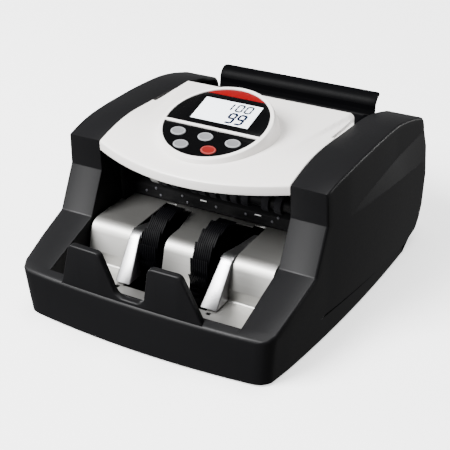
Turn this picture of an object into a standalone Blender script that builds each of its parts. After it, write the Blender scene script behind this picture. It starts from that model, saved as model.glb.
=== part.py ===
"""Banknote counting machine: a front-loading desk counter with a rear hopper and two stacker wheels.

Lengths in this script are millimetres until an object is made. X is to the right seen from the front,
Y points to the back and Z up. The origin is under the middle of the body, on the surface it stands on.
"""

import math

import bmesh
import bpy
from mathutils import Matrix, Vector
from mathutils.geometry import delaunay_2d_cdt

MM = 0.001
GAP = 0.3  # between touching pieces

# Body
POCKET_HALF = 100.0  # inner face of each side cover
BODY_HALF = 145.0
FRONT_NARROWING = 18.5  # how much narrower each side is at the front
FRONT_Y = -163.5
REAR_Y = 163.5
BOTTOM_Z = 2.0
RIM_Z = 47.4
WALL = 2.6
SLOPE_TOP = (-81.7, 72.2)  # y, z where the side cover's low slope meets the front facet
FACET_TOP = (-60.0, 112.3)
FACE_Y = -60.0  # the side cover's upright front face
CREST_Z = 152.5
CREST_Y = 5.0
CORNER_R = 12.0
EDGE_R = 2.4
FOOT_Z = -14.0  # the side covers are built down to here, then cut off level with the floor
SWOOSH_TIP = (-19.0, 104.0)
SWOOSH_DEPTH = 5.0
CREASE_START = (-72.0, 26.5)
CREASE_SLOPE = 0.09
CREASE_DEPTH = 2.5

# Top cover and its round island
COVER_HALF = POCKET_HALF - GAP
COVER_BOW = 25.0  # how far the front lip's middle stands out
COVER_REAR_Y = 86.0
COVER_T = 2.5
LIP_H = 9.5
ISLAND = (0.0, -13.6, 164.5)
ISLAND_TILT = math.radians(15.2)
DISC_R = 50.3
RECESS_H = 3.2
BAR_V = (-11.0, -8.0)  # the split bar across the disc
ACCENT_V = 39.5
PANEL_TOP = -0.9
WINDOW = (2.0, 16.6, 61.0, 33.0)  # centre u, centre v, width, height
KEY_R = 7.6  # half a key's width; its height is KEY_OVAL of its width
KEY_OVAL = 0.72
KEY_TRAVEL = 0.8
KEYS = {
    "key_mode": (-28.0, -22.0),
    "key_add": (1.0, -22.0),
    "key_batch": (30.0, -23.0),
    "key_detect": (-16.0, -38.0),
    "key_reset": (13.0, -38.0),
}

# Note path: centres of the shafts in y, z
STACKER_C = (-57.5, 45.5)
EXIT_C = (-22.0, 100.0)
FEED_C = (50.0, 79.0)
PICKUP_C = (98.0, 91.0)
MOTOR_C = (108.0, 41.0)
ROD_C = (120.0, 100.0)
SHAFT_R = 4.0
WHEEL_R = 39.5
WHEELS = {"left_stacker_wheel": (-39.3, -21.5), "right_stacker_wheel": (15.5, 34.0)}
FINGERS = 16
PLATE_X = (96.5, 98.5)
BEARING_R = 8.0
GEAR_MODULE = 3.125
FEED_TEETH = 32
EXIT_TEETH = 16
GEAR_X = (104.0, 109.0)
DRIVE_X = (112.0, 118.0)
STACKER_BELT_X = (-110.0, -104.0)
PICKUP_BELT_X = (-118.0, -112.0)
BELT_T = 1.5

# Stainless plate
STEEL_T = 1.2
PLATE_HALF = 97.5
STEEL_PATH = [(-20, 72), (-69, 71.4), (-77, 70.4), (-83, 67.2), (-86.4, 62)]
STEEL_PATH += [(-92.6, 45), (-93.5, 32), (-151.2, 32)]
TONGUE_HALF = 15.0  # the strip between the two wheel slots
TONGUE_FLARE = 6.3  # how much wider the strip is at the rear on the left
SLOT_Y = (-117.0, -26.5)
RIBS = {"left_note_rib": (-41.5, -52.5), "right_note_rib": (44.5, 56.5)}  # inner and outer edge
RIB_LEAN = 5.5
RIB_LAP = 1.7  # how far a rib lies over the plate beside its slot

# Hopper
HOPPER_FOOT = (75.0, 88.0)
HOPPER_KNEE = (146.0, 125.0)
HOPPER_HALF = 90.5
HOPPER_T = 2.5
DOOR_HINGE = (146.5, 53.5)

for _old in list(bpy.data.objects):
    bpy.data.objects.remove(_old, do_unlink=True)


# ---------------------------------------------------------------- helpers


def finish(name, rgb, roughness, metallic=0.0):
    """A Principled material."""
    made = bpy.data.materials.new(name)
    made.use_nodes = True
    shader = made.node_tree.nodes["Principled BSDF"]
    shader.inputs["Base Color"].default_value = (*rgb, 1.0)
    shader.inputs["Roughness"].default_value = roughness
    shader.inputs["Metallic"].default_value = metallic
    return made


BLACK = finish("black_plastic", (0.022, 0.022, 0.024), 0.45)
WHITE = finish("white_plastic", (0.86, 0.85, 0.83), 0.35)
GLOSS = finish("gloss_black", (0.006, 0.006, 0.007), 0.12)
RED = finish("red_plastic", (0.74, 0.012, 0.02), 0.3)
KEY_GREY = finish("key_grey", (0.36, 0.37, 0.4), 0.45)
KEY_RED = finish("key_red", (0.72, 0.09, 0.07), 0.45)
LCD = finish("lcd", (0.8, 0.86, 0.92), 0.2)
STEEL = finish("stainless", (0.62, 0.62, 0.6), 0.3, 1.0)
ZINC = finish("zinc_steel", (0.5, 0.5, 0.5), 0.35, 1.0)
FRAME = finish("painted_frame", (0.03, 0.03, 0.03), 0.5)
RUBBER = finish("rubber", (0.012, 0.012, 0.014), 0.6)
NYLON = finish("nylon", (0.8, 0.78, 0.7), 0.5)
BOARD = finish("circuit_board", (0.02, 0.18, 0.06), 0.5)


def make(name, shape, material, origin=(0, 0, 0)):
    """Turn a bmesh in millimetres into an object in metres whose origin is at `origin`."""
    bmesh.ops.remove_doubles(shape, verts=shape.verts, dist=0.001)
    bmesh.ops.recalc_face_normals(shape, faces=shape.faces)
    origin = Vector(origin)
    for vert in shape.verts:
        vert.co = (vert.co - origin) * MM
    mesh = bpy.data.meshes.new(name)
    shape.to_mesh(mesh)
    shape.free()
    mesh.materials.append(material)
    obj = bpy.data.objects.new(name, mesh)
    obj.location = origin * MM
    bpy.context.scene.collection.objects.link(obj)
    return obj


def combine(obj, shape, operation="DIFFERENCE"):
    """Cut a bmesh in millimetres from an object, or join it on."""
    tool = make("tool", shape, obj.data.materials[0])
    step = obj.modifiers.new("step", "BOOLEAN")
    step.operation = operation
    step.solver = "EXACT"
    step.object = tool
    bpy.context.view_layer.update()
    graph = bpy.context.evaluated_depsgraph_get()
    mesh = bpy.data.meshes.new_from_object(obj.evaluated_get(graph))
    obj.modifiers.clear()
    obj.data = mesh
    bpy.data.objects.remove(tool, do_unlink=True)
    return obj


def smooth(obj, degrees=35.0):
    obj.data.shade_smooth()
    obj.data.set_sharp_from_angle(angle=math.radians(degrees))
    return obj


def prism(axis, outline, low, high):
    """An outline in the other two axes, in XYZ order, extruded along `axis`."""
    place = {
        "X": lambda a, b, t: (t, a, b),
        "Y": lambda a, b, t: (a, t, b),
        "Z": lambda a, b, t: (a, b, t),
    }[axis]
    shape = bmesh.new()
    ends = [[shape.verts.new(place(a, b, t)) for a, b in outline] for t in (low, high)]
    for i in range(len(outline)):
        j = (i + 1) % len(outline)
        shape.faces.new((ends[0][i], ends[0][j], ends[1][j], ends[1][i]))
    shape.faces.new(ends[0])
    shape.faces.new(ends[1])
    return shape


def box(x, y, z):
    """A box from (low, high) pairs."""
    return prism("Z", [(x[0], y[0]), (x[1], y[0]), (x[1], y[1]), (x[0], y[1])], *z)


def circle(centre, radius, count, start=0.0):
    return [
        (
            centre[0] + radius * math.cos(start + 2 * math.pi * i / count),
            centre[1] + radius * math.sin(start + 2 * math.pi * i / count),
        )
        for i in range(count)
    ]


def turned(profile, count, to_world=None):
    """Turn (radius, height) points about +Z. Radius 0 closes an end; with no end on the axis it is a ring."""
    shape = bmesh.new()
    rings = []
    for radius, height in profile:
        if radius == 0:
            rings.append([shape.verts.new((0, 0, height))] * count)
        else:
            rings.append([shape.verts.new((x, y, height)) for x, y in circle((0, 0), radius, count)])
    pairs = list(zip(rings, rings[1:]))
    if profile[0][0] > 0:
        pairs.append((rings[-1], rings[0]))
    for low, high in pairs:
        for i in range(count):
            j = (i + 1) % count
            corners = list(dict.fromkeys((low[i], low[j], high[j], high[i])))
            if len(corners) > 2:
                shape.faces.new(corners)
    if to_world is not None:
        bmesh.ops.transform(shape, matrix=to_world, verts=shape.verts)
    return shape


def along_x(centre, x=0.0):
    """Puts a turned shape's axis along X through (y, z)."""
    return Matrix.Translation((x, *centre)) @ Matrix.Rotation(math.pi / 2, 4, "Y")


def bar(centre, radius, x, count=14):
    """A cylinder along X."""
    return turned([(0, x[0]), (radius, x[0]), (radius, x[1]), (0, x[1])], count, along_x(centre))


def path_wall(path, thickness):
    """The outline of a sheet of even thickness whose upper face follows an open path."""
    lower = []
    for i, (a, b) in enumerate(path):
        before = Vector(path[max(i - 1, 0)])
        after = Vector(path[min(i + 1, len(path) - 1)])
        here = Vector((a, b))
        first = (here - before).normalized() if i else (after - here).normalized()
        second = (after - here).normalized() if i < len(path) - 1 else first
        middle = (first + second).normalized()
        normal = Vector((-middle.y, middle.x))
        reach = thickness / max(normal.dot(Vector((-first.y, first.x))), 0.5)
        lower.append((a + normal.x * reach, b + normal.y * reach))
    return list(path) + lower[::-1]


def in_strips(shape, places):
    """Cut a shape's faces across X, so that a later bend leaves them flat."""
    for x in places:
        parts = shape.verts[:] + shape.edges[:] + shape.faces[:]
        bmesh.ops.bisect_plane(shape, geom=parts, plane_co=(x, 0, 0), plane_no=(1, 0, 0))
    bmesh.ops.triangulate(shape, faces=shape.faces)
    return shape


def clamp(value, low=0.0, high=1.0):
    return max(low, min(high, value))


def disc_frame():
    """Local u, v, height of the round island to world."""
    return Matrix.Translation(ISLAND) @ Matrix.Rotation(ISLAND_TILT, 4, "X")


def on_disc(shape):
    bmesh.ops.transform(shape, matrix=disc_frame(), verts=shape.verts)
    return shape


def disc_point(u, v, height=0.0):
    return tuple(disc_frame() @ Vector((u, v, height)))


# ---------------------------------------------------------------- outer shape


def half_width(y):
    """Half of the body's width near its foot."""
    return BODY_HALF - FRONT_NARROWING * (max(103.0 - y, 0.0) / 263.0) ** 2.2


def inner_top(y):
    """Height of the side cover's upper edge beside the pocket."""
    if y < CREST_Y:
        return CREST_Z - 9.3 * ((CREST_Y - y) / 65.0) ** 2
    far = y - CREST_Y
    fall = 0.00365 * far**2 if far < 10 else 0.073 * far - 0.365
    return CREST_Z - fall - 12.6 * (max(y - 85.0, 0.0) / 73.0) ** 1.8


def crown(y):
    """How much the side cover's top falls from its inner to its outer edge."""
    return 3.0 * math.exp(-((y / 40.0) ** 2))


def swoosh_edges(y):
    """Lower and upper edge of the slanting facet on the side."""
    far = max(y - SWOOSH_TIP[0], 0.0)
    return SWOOSH_TIP[1] - 0.107 * far, SWOOSH_TIP[1] + 10.5 * (1 - math.exp(-far / 55.0))


def crease_z(y):
    return CREASE_START[1] - CREASE_SLOPE * (y - CREASE_START[0])


def front_y(z):
    """The front's lean: its foot stands a little ahead of its rim."""
    return FRONT_Y + 2.0 * clamp(z / RIM_Z)


def corner_drop(y, z):
    """How far the side turns in over the round front corner."""
    share = 1 - clamp((y - front_y(z)) / CORNER_R)
    return CORNER_R * (1 - math.sqrt(1 - share**2))


def side_x(y, z, ledge=0.0):
    """Outer face of a side cover. `ledge` raises the crease's step for the wall's inner face."""
    draft = 3.4 * (z / 145.0) ** 2 * (1 - 0.5 * clamp((y - 30.0) / 130.0))
    flare = 4.5 * clamp(z / 47.0) * clamp((FACE_Y - y) / 100.0)
    low, high = swoosh_edges(y)
    depth = SWOOSH_DEPTH * clamp((y - SWOOSH_TIP[0]) / 110.0)
    swoosh = depth * clamp((z - low) / (high - low)) if high > low else 0.0
    step = CREASE_DEPTH * clamp((y - CREASE_START[0]) / 195.0) * clamp(crease_z(y) + ledge - z)
    step *= clamp((z + 9.0) / (crease_z(y) + 9.0))
    return half_width(y) - draft + flare - swoosh - step - corner_drop(y, z)


def bow(x, y, z):
    """The front's plan curve: how far a point moves back at a distance x from the middle."""
    amount = 5.0 + 3.5 * (1 - clamp(z / RIM_Z))
    return amount * (x / 125.0) ** 2 * clamp((-125.0 - y) / 38.0)


def side_outline():
    """(y, z) round a side cover, from the front over the top to the rear, closed well below the floor."""
    points = [(front_y(z), z) for z in (FOOT_Z, 7.0, 25.0, RIM_Z - 2.6)]
    points += [(FRONT_Y + 4.6, RIM_Z + 0.6), (-149.0, 51.0), (-115.0, 61.6), SLOPE_TOP, (-71.0, 92.0)]
    points += [FACET_TOP, (FACE_Y, 128.0)]
    steps = 12
    for k in range(steps + 1):
        y = FACE_Y + (148.0 - FACE_Y) * k / steps
        points.append((y, inner_top(y) - crown(y)))
    points += [(156.0, 130.5), (161.0, 124.0), (163.2, 114.0), (REAR_Y, 98.0)]
    points += [(160.5, 69.0), (155.0, 36.0), (148.0, 22.0), (139.0, 12.5), (121.0, 10.5), (106.0, -1.0)]
    return points + [(y, FOOT_Z) for y in (80.0, 50.0, 20.0, -10.0, -40.0, -70.0, -100.0, -130.0)]


def inset(points, distances):
    """Move each (a, b) of a clockwise outline inwards by its distance, keeping faces parallel."""
    moved = []
    for i, here in enumerate(points):
        before = Vector(points[i - 1])
        after = Vector(points[(i + 1) % len(points)])
        first = (Vector(here) - before).normalized()
        second = (after - Vector(here)).normalized()
        one = Vector((first.y, -first.x))
        two = Vector((second.y, -second.x))
        normal = (one + two).normalized()
        reach = distances[i] / max(normal.dot(one), 0.6)
        moved.append((here[0] + normal.x * reach, here[1] + normal.y * reach))
    return moved


def inside(point, polygon):
    hit = False
    for i in range(len(polygon)):
        (ax, ay), (bx, by) = polygon[i - 1], polygon[i]
        if (ay > point[1]) != (by > point[1]):
            if point[0] < ax + (point[1] - ay) / (by - ay) * (bx - ax):
                hit = not hit
    return hit


def feature_lines(polygon, ledge):
    """The facet's two edges, the crease and the round front corner, as (y, z) runs inside the outline."""
    runs = []
    for pick in (0, 1):
        runs.append([(y, swoosh_edges(y)[pick]) for y in (-18.0, 5.0, 35.0, 70.0, 110.0, 156.0)])
    for below in (0.0, 1.0):
        runs.append([(y, crease_z(y) + ledge - below) for y in (-70.0, -30.0, 20.0, 70.0, 116.0)])
    for back in (0.42, 0.72, 1.0):
        runs.append([(front_y(z) + CORNER_R * back, z) for z in (FOOT_Z + 3, 8.0, 26.0, 42.0)])
    return [[p for p in run if inside(p, polygon)] for run in runs]


def side_body(side, skin=0.0, x_inner=POCKET_HALF, rounds=(0.0, 0.3, 1.0)):
    """The solid within a side cover's outer surface, or that surface moved inwards by `skin`."""
    rough = side_outline()
    outline = inset(rough, [skin] * len(rough))
    outline = [(y, FOOT_Z if z < FOOT_Z + skin + 0.5 else z) for y, z in outline]
    ledge = 2.0 * skin
    radius = max(EDGE_R - skin, 0.6)
    rings = [inset(outline, [radius * k] * len(outline)) for k in rounds]
    shape = bmesh.new()

    def vert(x, y, z):
        return shape.verts.new((side * x, y + bow(x, y, z), z))

    loops = [[vert(x_inner, y, z + (crown(y) if z > 128.0 and y < 148.0 else 0.0)) for y, z in outline]]
    for k, ring in zip(rounds, rings):
        back = radius * (1 - math.sqrt(max(1 - (1 - k) ** 2, 0.0)))
        loops.append([vert(side_x(y, z, ledge) - skin - back, y, z) for y, z in ring])
    count = len(outline)
    for low, high in zip(loops, loops[1:]):
        for i in range(count):
            j = (i + 1) % count
            shape.faces.new((low[i], low[j], high[j], high[i]))
    shape.faces.new(loops[0])
    fill_side(shape, rings[-1], loops[-1], lambda y, z: vert(side_x(y, z, ledge) - skin, y, z), ledge)
    return shape


def fill_side(shape, ring, loop, vert, ledge):
    """Cover the inside of the last ring, keeping the feature lines as edges."""
    points = [Vector(p) for p in ring]
    edges = []
    near = inset(ring, [1.2] * len(ring))
    for run in feature_lines(near, ledge):
        start = len(points)
        points += [Vector(p) for p in run]
        edges += [(k, k + 1) for k in range(start, len(points) - 1)]
    clear = inset(ring, [9.0] * len(ring))
    for y in range(-140, 160, 36):
        for z in (36, 58, 74, 128):
            low, high = swoosh_edges(y)
            if inside((y, z), clear) and not (y > -22 and low - 5 < z < high + 5):
                points.append(Vector((y, z)))
    done = delaunay_2d_cdt(points, edges, [list(range(len(ring)))], 1, 1e-5)
    made = {}
    for i, (place, source) in enumerate(zip(done[0], done[3])):
        on_ring = [s for s in source if s < len(ring)]
        made[i] = loop[on_ring[0]] if on_ring else vert(place.x, place.y)
    for face in done[2]:
        shape.faces.new([made[i] for i in face])


def side_cover(name, side):
    """A moulded side shell, open below and, behind the pocket, towards the middle."""
    cover = make(name, side_body(side), BLACK)
    low, high = sorted((side * (POCKET_HALF - 1), side * (POCKET_HALF + 3.4)))
    combine(cover, box(sorted((side * 90, side * 160)), (-180, 180), (FOOT_Z - 9, BOTTOM_Z)))
    combine(cover, side_body(side, WALL, POCKET_HALF + 2.4, (0.0, 1.0)))
    opening = inset(side_outline(), [WALL + 0.5] * len(side_outline()))
    opening = [(y, FOOT_Z - 1 if z < BOTTOM_Z else z) for y, z in opening if y > -30.0]
    opening = [(-34.0, FOOT_Z - 1), (-34.0, inner_top(-34.0) - crown(-34.0) - WALL - 0.5)] + opening
    combine(cover, prism("X", opening, low, high))
    combine(cover, box((low, high), (-76.0, -33.0), (-7.0, 64.0)))
    combine(cover, box((low, high), (-149.0, -75.0), (-7.0, 28.0)))
    return cover


# ---------------------------------------------------------------- housing


def base_tray():
    """Floor, front wall with its rim, and the rear wall that holds the power inlet and switch."""
    front = in_strips(prism("X", front_profile(), -COVER_HALF, COVER_HALF), range(-80, 81, 20))
    for vert in front.verts:
        vert.co.y += bow(*vert.co)
    tray = make("base_tray", front, BLACK)
    ys = (-131.0, -110.0, -85.0, -60.0, -20.0, 30.0, 102.0)
    plan = [(side_x(y, 3.0) - 3.4, y) for y in ys]
    plan += [(-x, y) for x, y in reversed(plan)]
    combine(tray, prism("Z", plan, BOTTOM_Z + 0.05, BOTTOM_Z + 2.45), "UNION")
    rear = [(98.0, 2.05), (110.0, 2.05), (122.0, 10.8), (138.5, 12.8), (138.5, 50.0), (136.0, 50.0)]
    rear += [(136.0, 15.2), (120.5, 13.2), (109.0, 4.45), (98.0, 4.45)]
    combine(tray, prism("X", rear, -99.0, 99.0), "UNION")
    combine(tray, note_stop_shape(GAP, -3.0))
    for x, y in foot_places():
        hole = [(0, 0), (3.4, 0), (3.4, 10), (0, 10)]
        combine(tray, turned(hole, 10, Matrix.Translation((x, y, 0))))
    combine(tray, box((-75.8, -44.2), (130, 145), (20.2, 43.8)))
    combine(tray, box((48.2, 71.8), (130, 145), (22.7, 41.3)))
    return tray


def front_profile():
    """Front wall, rim shelf and the start of the floor, in y, z."""
    return [
        (FRONT_Y, BOTTOM_Z), (front_y(25.0), 25.0), (front_y(RIM_Z - 2.6), RIM_Z - 2.6),
        (FRONT_Y + 4.6, RIM_Z + 0.6),
        (-151.5, RIM_Z + 2.9), (-151.5, RIM_Z + 0.3), (-158.2, RIM_Z - 2.0), (-159.4, 24.0), (-160.2, 4.5),
        (-125.0, 4.5), (-125.0, BOTTOM_Z),
    ]  # fmt: skip


def note_stop_outline(grow=0.0):
    """The two fins and the dip between them, in x, z."""
    points = [(-80.7, 34.0), (-80.7, 46.0)]
    points += [(-62.0 + 5.4 * math.cos(a), 84.6 + 5.4 * math.sin(a)) for a in (2.9, 2.2, 1.57)]
    points += [(-40.5 + 6.0 * math.cos(a), 84.0 + 6.0 * math.sin(a)) for a in (1.57, 1.0, 0.35)]
    points += [(-21.4, 56.0), (-18.4, 52.6), (-14.0, 50.9), (3.6, 50.9), (7.6, 53.0), (9.8, 57.0)]
    points += [(22.0 + 5.4 * math.cos(a), 84.6 + 5.4 * math.sin(a)) for a in (2.9, 2.2, 1.57)]
    points += [(42.5 + 6.0 * math.cos(a), 84.0 + 6.0 * math.sin(a)) for a in (1.57, 1.0, 0.35)]
    points += [(68.0, 47.0), (69.6, 34.0)]
    return inset(points, [-grow] * len(points))


def note_stop_shape(grow=0.0, down=0.0):
    """The note stop as a plate that follows the front's plan curve."""
    shape = prism("Y", note_stop_outline(grow), -160.0 - grow, -153.0 + grow)
    in_strips(shape, (-60.1, -40.1, -20.1, 0.1, 20.1, 40.1))
    for vert in shape.verts:
        if vert.co.z < 36.0:
            vert.co.z += down
        vert.co.y += bow(vert.co.x, -161.0, RIM_Z)
    return shape


def note_stop():
    return make("note_stop", note_stop_shape(), BLACK)


def foot_places():
    return [(sx * 92.0, y) for sx in (-1, 1) for y in (-125.0, 85.0)]


def feet():
    for number, (x, y) in enumerate(foot_places(), 1):
        profile = [(0, 0), (8.0, 0), (8.6, 0.6), (8.6, 1.7), (3.0, 1.7), (3.0, 7.0), (0, 7.0)]
        shape = turned(profile, 12, Matrix.Translation((x, y, 0)))
        smooth(make(f"foot_{number}", shape, RUBBER, (x, y, 0)))


# ---------------------------------------------------------------- top cover


def cover_z(x, y):
    """Upper surface of the top cover."""
    across = 1 - (x / POCKET_HALF) ** 2
    inward = y - (FACE_Y - COVER_BOW * across)
    run = FACE_Y + inward
    edge = CREST_Z + 0.5 - 9.8 * (max(CREST_Y - run, 0.0) / 65.0) ** 2
    return edge - 3.0 * across * clamp(1 - inward / 100.0)


def cover_half(y):
    """Half width: it steps in towards the rear."""
    return COVER_HALF - 5.5 * clamp((y - 74.0) / 12.0)


def cover_grid(drop, columns=10, rows=9):
    """Rows of (x, y, z) on the cover's surface moved down by `drop`."""
    grid = []
    for r in range(rows + 1):
        line = []
        for c in range(columns + 1):
            u = -1 + 2 * c / columns
            front = FACE_Y - COVER_BOW * (1 - u * u)
            y = front + (COVER_REAR_Y - front) * r / rows
            x = u * cover_half(y)
            line.append((x, y, cover_z(x, y) - drop))
        grid.append(line)
    return grid


def slab(upper, lower):
    """A closed solid between two grids of the same size."""
    shape = bmesh.new()
    top, under = ([[shape.verts.new(p) for p in line] for line in grid] for grid in (upper, lower))
    rows, columns = len(upper) - 1, len(upper[0]) - 1
    for sheet in (top, under):
        for r in range(rows):
            for c in range(columns):
                shape.faces.new((sheet[r][c], sheet[r][c + 1], sheet[r + 1][c + 1], sheet[r + 1][c]))
    border = [(0, c) for c in range(columns)] + [(r, columns) for r in range(rows)]
    border += [(rows, c) for c in range(columns, 0, -1)] + [(r, 0) for r in range(rows, 0, -1)]
    for i, (r, c) in enumerate(border):
        nr, nc = border[(i + 1) % len(border)]
        shape.faces.new((top[r][c], top[nr][nc], under[nr][nc], under[r][c]))
    return shape


def lip():
    """The upright strip under the cover's front edge."""
    upper, lower = [], []
    for depth in (0.0, COVER_T):
        line = []
        for c in range(11):
            u = -1 + c / 5
            x = u * COVER_HALF
            y = FACE_Y - COVER_BOW * (1 - u * u) + depth
            line.append((x, y, cover_z(x, y - depth)))
        upper.append([(x, y, z - 1.0) for x, y, z in line])
        lower.append([(x, y, z - LIP_H) for x, y, z in line])
    return slab(upper, lower)


def rear_flange():
    """The cover's rear edge, turned down towards the cross plate."""
    upper, lower = [], []
    for y in (COVER_REAR_Y - COVER_T, COVER_REAR_Y):
        line = [((-1 + c / 4) * cover_half(y), y) for c in range(9)]
        upper.append([(x, y, cover_z(x, y) - 1.0) for x, y in line])
        lower.append([(x, y, 128.5) for x, y in line])
    return slab(upper, lower)


def segment(radius, low, high, count=32):
    """The part of a disc between two heights v, as an outline in u, v."""
    points = []
    for right in (True, False):
        start, end = (low, high) if right else (high, low)
        first, last = (math.asin(clamp(v / radius, -1, 1)) for v in (start, end))
        steps = max(3, int(abs(last - first) / (2 * math.pi / count)))
        for k in range(steps + 1):
            a = first + (last - first) * k / steps
            points.append(((1 if right else -1) * radius * math.cos(a), radius * math.sin(a)))
    kept = []
    for p in points:
        if not kept or math.dist(p, kept[-1]) > 0.01:
            kept.append(p)
    if math.dist(kept[0], kept[-1]) < 0.01:
        kept.pop()
    return kept


def top_cover():
    """White lid: a thin crowned shell with a round raised island that holds the panel."""
    wall = [(0, 0), (53.4, 0), (54.4, -1.0), (55.6, -5.0), (57.2, -14.0), (58.6, -32), (0, -32)]
    island = make("island", on_disc(turned(wall, 28)), WHITE)
    under = slab(cover_grid(COVER_T - 0.8), [[(x, y, 90.0) for x, y, _ in line] for line in cover_grid(0)])
    combine(island, under)
    cover = make("top_cover", slab(cover_grid(0), cover_grid(COVER_T)), WHITE)
    combine(cover, lip(), "UNION")
    combine(cover, rear_flange(), "UNION")
    raised = bmesh.new()
    raised.from_mesh(island.data)
    bmesh.ops.scale(raised, vec=(1 / MM,) * 3, verts=raised.verts)
    bpy.data.objects.remove(island, do_unlink=True)
    combine(cover, raised, "UNION")
    combine(cover, on_disc(turned([(0, -60), (47, -60), (47, -5.2), (0, -5.2)], 24)))
    combine(cover, on_disc(prism("Z", segment(DISC_R, BAR_V[1], DISC_R), -RECESS_H, 8)))
    combine(cover, on_disc(prism("Z", segment(DISC_R, -DISC_R, BAR_V[0]), -RECESS_H, 8)))
    combine(cover, on_disc(prism("Z", window_outline(0.0), -7, 0)))
    for u, v in KEYS.values():
        hole = turned([(0, -7), (3.3, -7), (3.3, 0), (0, 0)], 8, Matrix.Translation((u, v, 0)))
        combine(cover, on_disc(hole))
    return cover


def window_outline(shrink):
    u, v, width, height = WINDOW
    a, b = width / 2 - shrink, height / 2 - shrink
    return [(u - a, v - b), (u + a, v - b), (u + a, v + b), (u - a, v + b)]


def panels():
    """Display, accent and key panels set into the island, with the LCD and the board behind them."""
    low, high = -RECESS_H + GAP, PANEL_TOP
    r = DISC_R - GAP
    split = ACCENT_V - GAP / 2
    upper = make("display_panel", on_disc(prism("Z", segment(r, BAR_V[1] + GAP, split), low, high)), GLOSS)
    combine(upper, on_disc(prism("Z", window_outline(0.0), -8, 4)))
    make("accent_panel", on_disc(prism("Z", segment(r, split + GAP, r), low, high)), RED)
    lower = make("key_panel", on_disc(prism("Z", segment(r, -r, BAR_V[0] - GAP), low, high)), GLOSS)
    for u, v in KEYS.values():
        hole = [(0, -8), (KEY_R + 0.5, -8), (KEY_R + 0.5, 4), (0, 4)]
        combine(lower, on_disc(turned(hole, 14, key_place(u, v))))
    make("lcd_screen", on_disc(prism("Z", window_outline(GAP), -6.5, PANEL_TOP - 0.5)), LCD)
    board = [(0, -11), (44, -11), (44, -9.4), (0, -9.4)]
    smooth(make("panel_board", on_disc(turned(board, 20)), BOARD))


def key_place(u, v):
    """Moves a turned shape to a key's place and flattens it to the key's oval."""
    return Matrix.Translation((u, v, 0)) @ Matrix.Diagonal((1, KEY_OVAL, 1, 1))


def keys():
    """Five oval push keys, each with a stem towards its switch on the board."""
    for name, (u, v) in KEYS.items():
        cap = [(0, 0.0), (KEY_R - 0.9, -0.1), (KEY_R, -0.7), (KEY_R, -2.2)]
        cap += [(2.8, -2.2), (2.8, -8.2), (0, -8.2)]
        shape = on_disc(turned(cap, 14, key_place(u, v)))
        smooth(make(name, shape, KEY_RED if name == "key_reset" else KEY_GREY, disc_point(u, v)))


# ---------------------------------------------------------------- stacker pocket


def stacker_plate():
    """One folded stainless sheet with a slot for each stacker wheel."""
    front, rear = SLOT_Y
    plate = make("stacker_plate", prism("X", path_wall(STEEL_PATH, STEEL_T), -PLATE_HALF, PLATE_HALF), STEEL)
    for side, (inner, outer) in zip((-1, 1), RIBS.values()):
        flare = TONGUE_FLARE if side < 0 else 0.0
        near, far = side * TONGUE_HALF, inner + side * RIB_LAP
        slot = [(near, front), (near, FACE_Y), (near + side * flare, rear), (far, rear), (far, front)]
        combine(plate, prism("Z", slot, 20.0, 90.0))
        combine(plate, box(sorted((inner, outer + side * GAP)), (-79.0, rear + 4.0), (60.0, 90.0)))
        combine(plate, box(sorted((side * 92.0, side * 99.0)), (-36.0, -10.0), (60.0, 90.0)))
    return plate


def note_rib(name):
    """A bright strip beside a wheel slot: low at the rear, proud of the plate on its way to the floor."""
    inner, outer = RIBS[name]
    side = 1 if outer > 0 else -1
    path = [(-24.0, 62.5), (-60.0, 67.5), (-72.0, 70.2), (-80.0, 71.0)]
    path += [(-86.0, 68.6), (-91.0, 63.4), (-116.0, 33.2)]
    rib = make(name, lean(prism("X", path_wall(path, 1.0), *sorted((inner, outer))), inner, side), STEEL)
    web = [(y, z - 0.5) for y, z in path[:-1]] + [(-115.0, 33.4)]
    web += [(-100.0, 33.4), (-99.5, 47.0), (-96.5, 57.0), (-88.0, 61.5), (-28.0, 54.0)]
    shape = lean(prism("X", web, *sorted((inner, inner + side * 1.2))), inner, side)
    return combine(rib, shape, "UNION")


def lean(shape, inner, side):
    """A rib widens towards the middle on its way down: its inner edge leans in."""
    bmesh.ops.triangulate(shape, faces=shape.faces)
    for vert in shape.verts:
        if vert.co.y < -84.0 and abs(vert.co.x - inner) < 2.0:
            vert.co.x -= side * RIB_LEAN * clamp((68.0 - vert.co.z) / 36.0)
    return shape


def wheel_outline():
    """A hub with curved fingers whose tips trail the turn, in y, z about the axle."""
    points = []
    steps = 4
    for finger in range(FINGERS):
        root = 2 * math.pi * finger / FINGERS
        for leading in (False, True):
            order = range(steps + 1) if not leading else range(steps, -1, -1)
            for k in order:
                share = k / steps
                radius = 14.0 + (WHEEL_R - 14.0) * share
                width = 2.6 - 1.6 * share
                angle = root - math.radians(62.0) * share**1.25
                angle += (0.5 if leading else -0.5) * width / radius
                points.append((radius * math.cos(angle), radius * math.sin(angle)))
    return points


def stacker_assembly():
    """Shaft, pulley and two rubber wheels that catch the notes between their fingers."""
    pulley = [(20.0, -111.5), (20.0, -110.5), (18.0, -110.3), (18.0, -103.9), (20.0, -103.7), (20.0, -102.9)]
    profile = [(0, -113), (SHAFT_R, -113), (SHAFT_R, -111.5)] + pulley
    profile += [(SHAFT_R, -102.9), (SHAFT_R, 101), (0, 101)]
    smooth(make("stacker_shaft", turned(profile, 14, along_x(STACKER_C)), ZINC, (0, *STACKER_C)))
    for name, (low, high) in WHEELS.items():
        outline = [(y + STACKER_C[0], z + STACKER_C[1]) for y, z in wheel_outline()]
        wheel = make(name, prism("X", outline, low, high), RUBBER, (0, *STACKER_C))
        combine(wheel, bar(STACKER_C, SHAFT_R + GAP, (low - 1, high + 1)))


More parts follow.
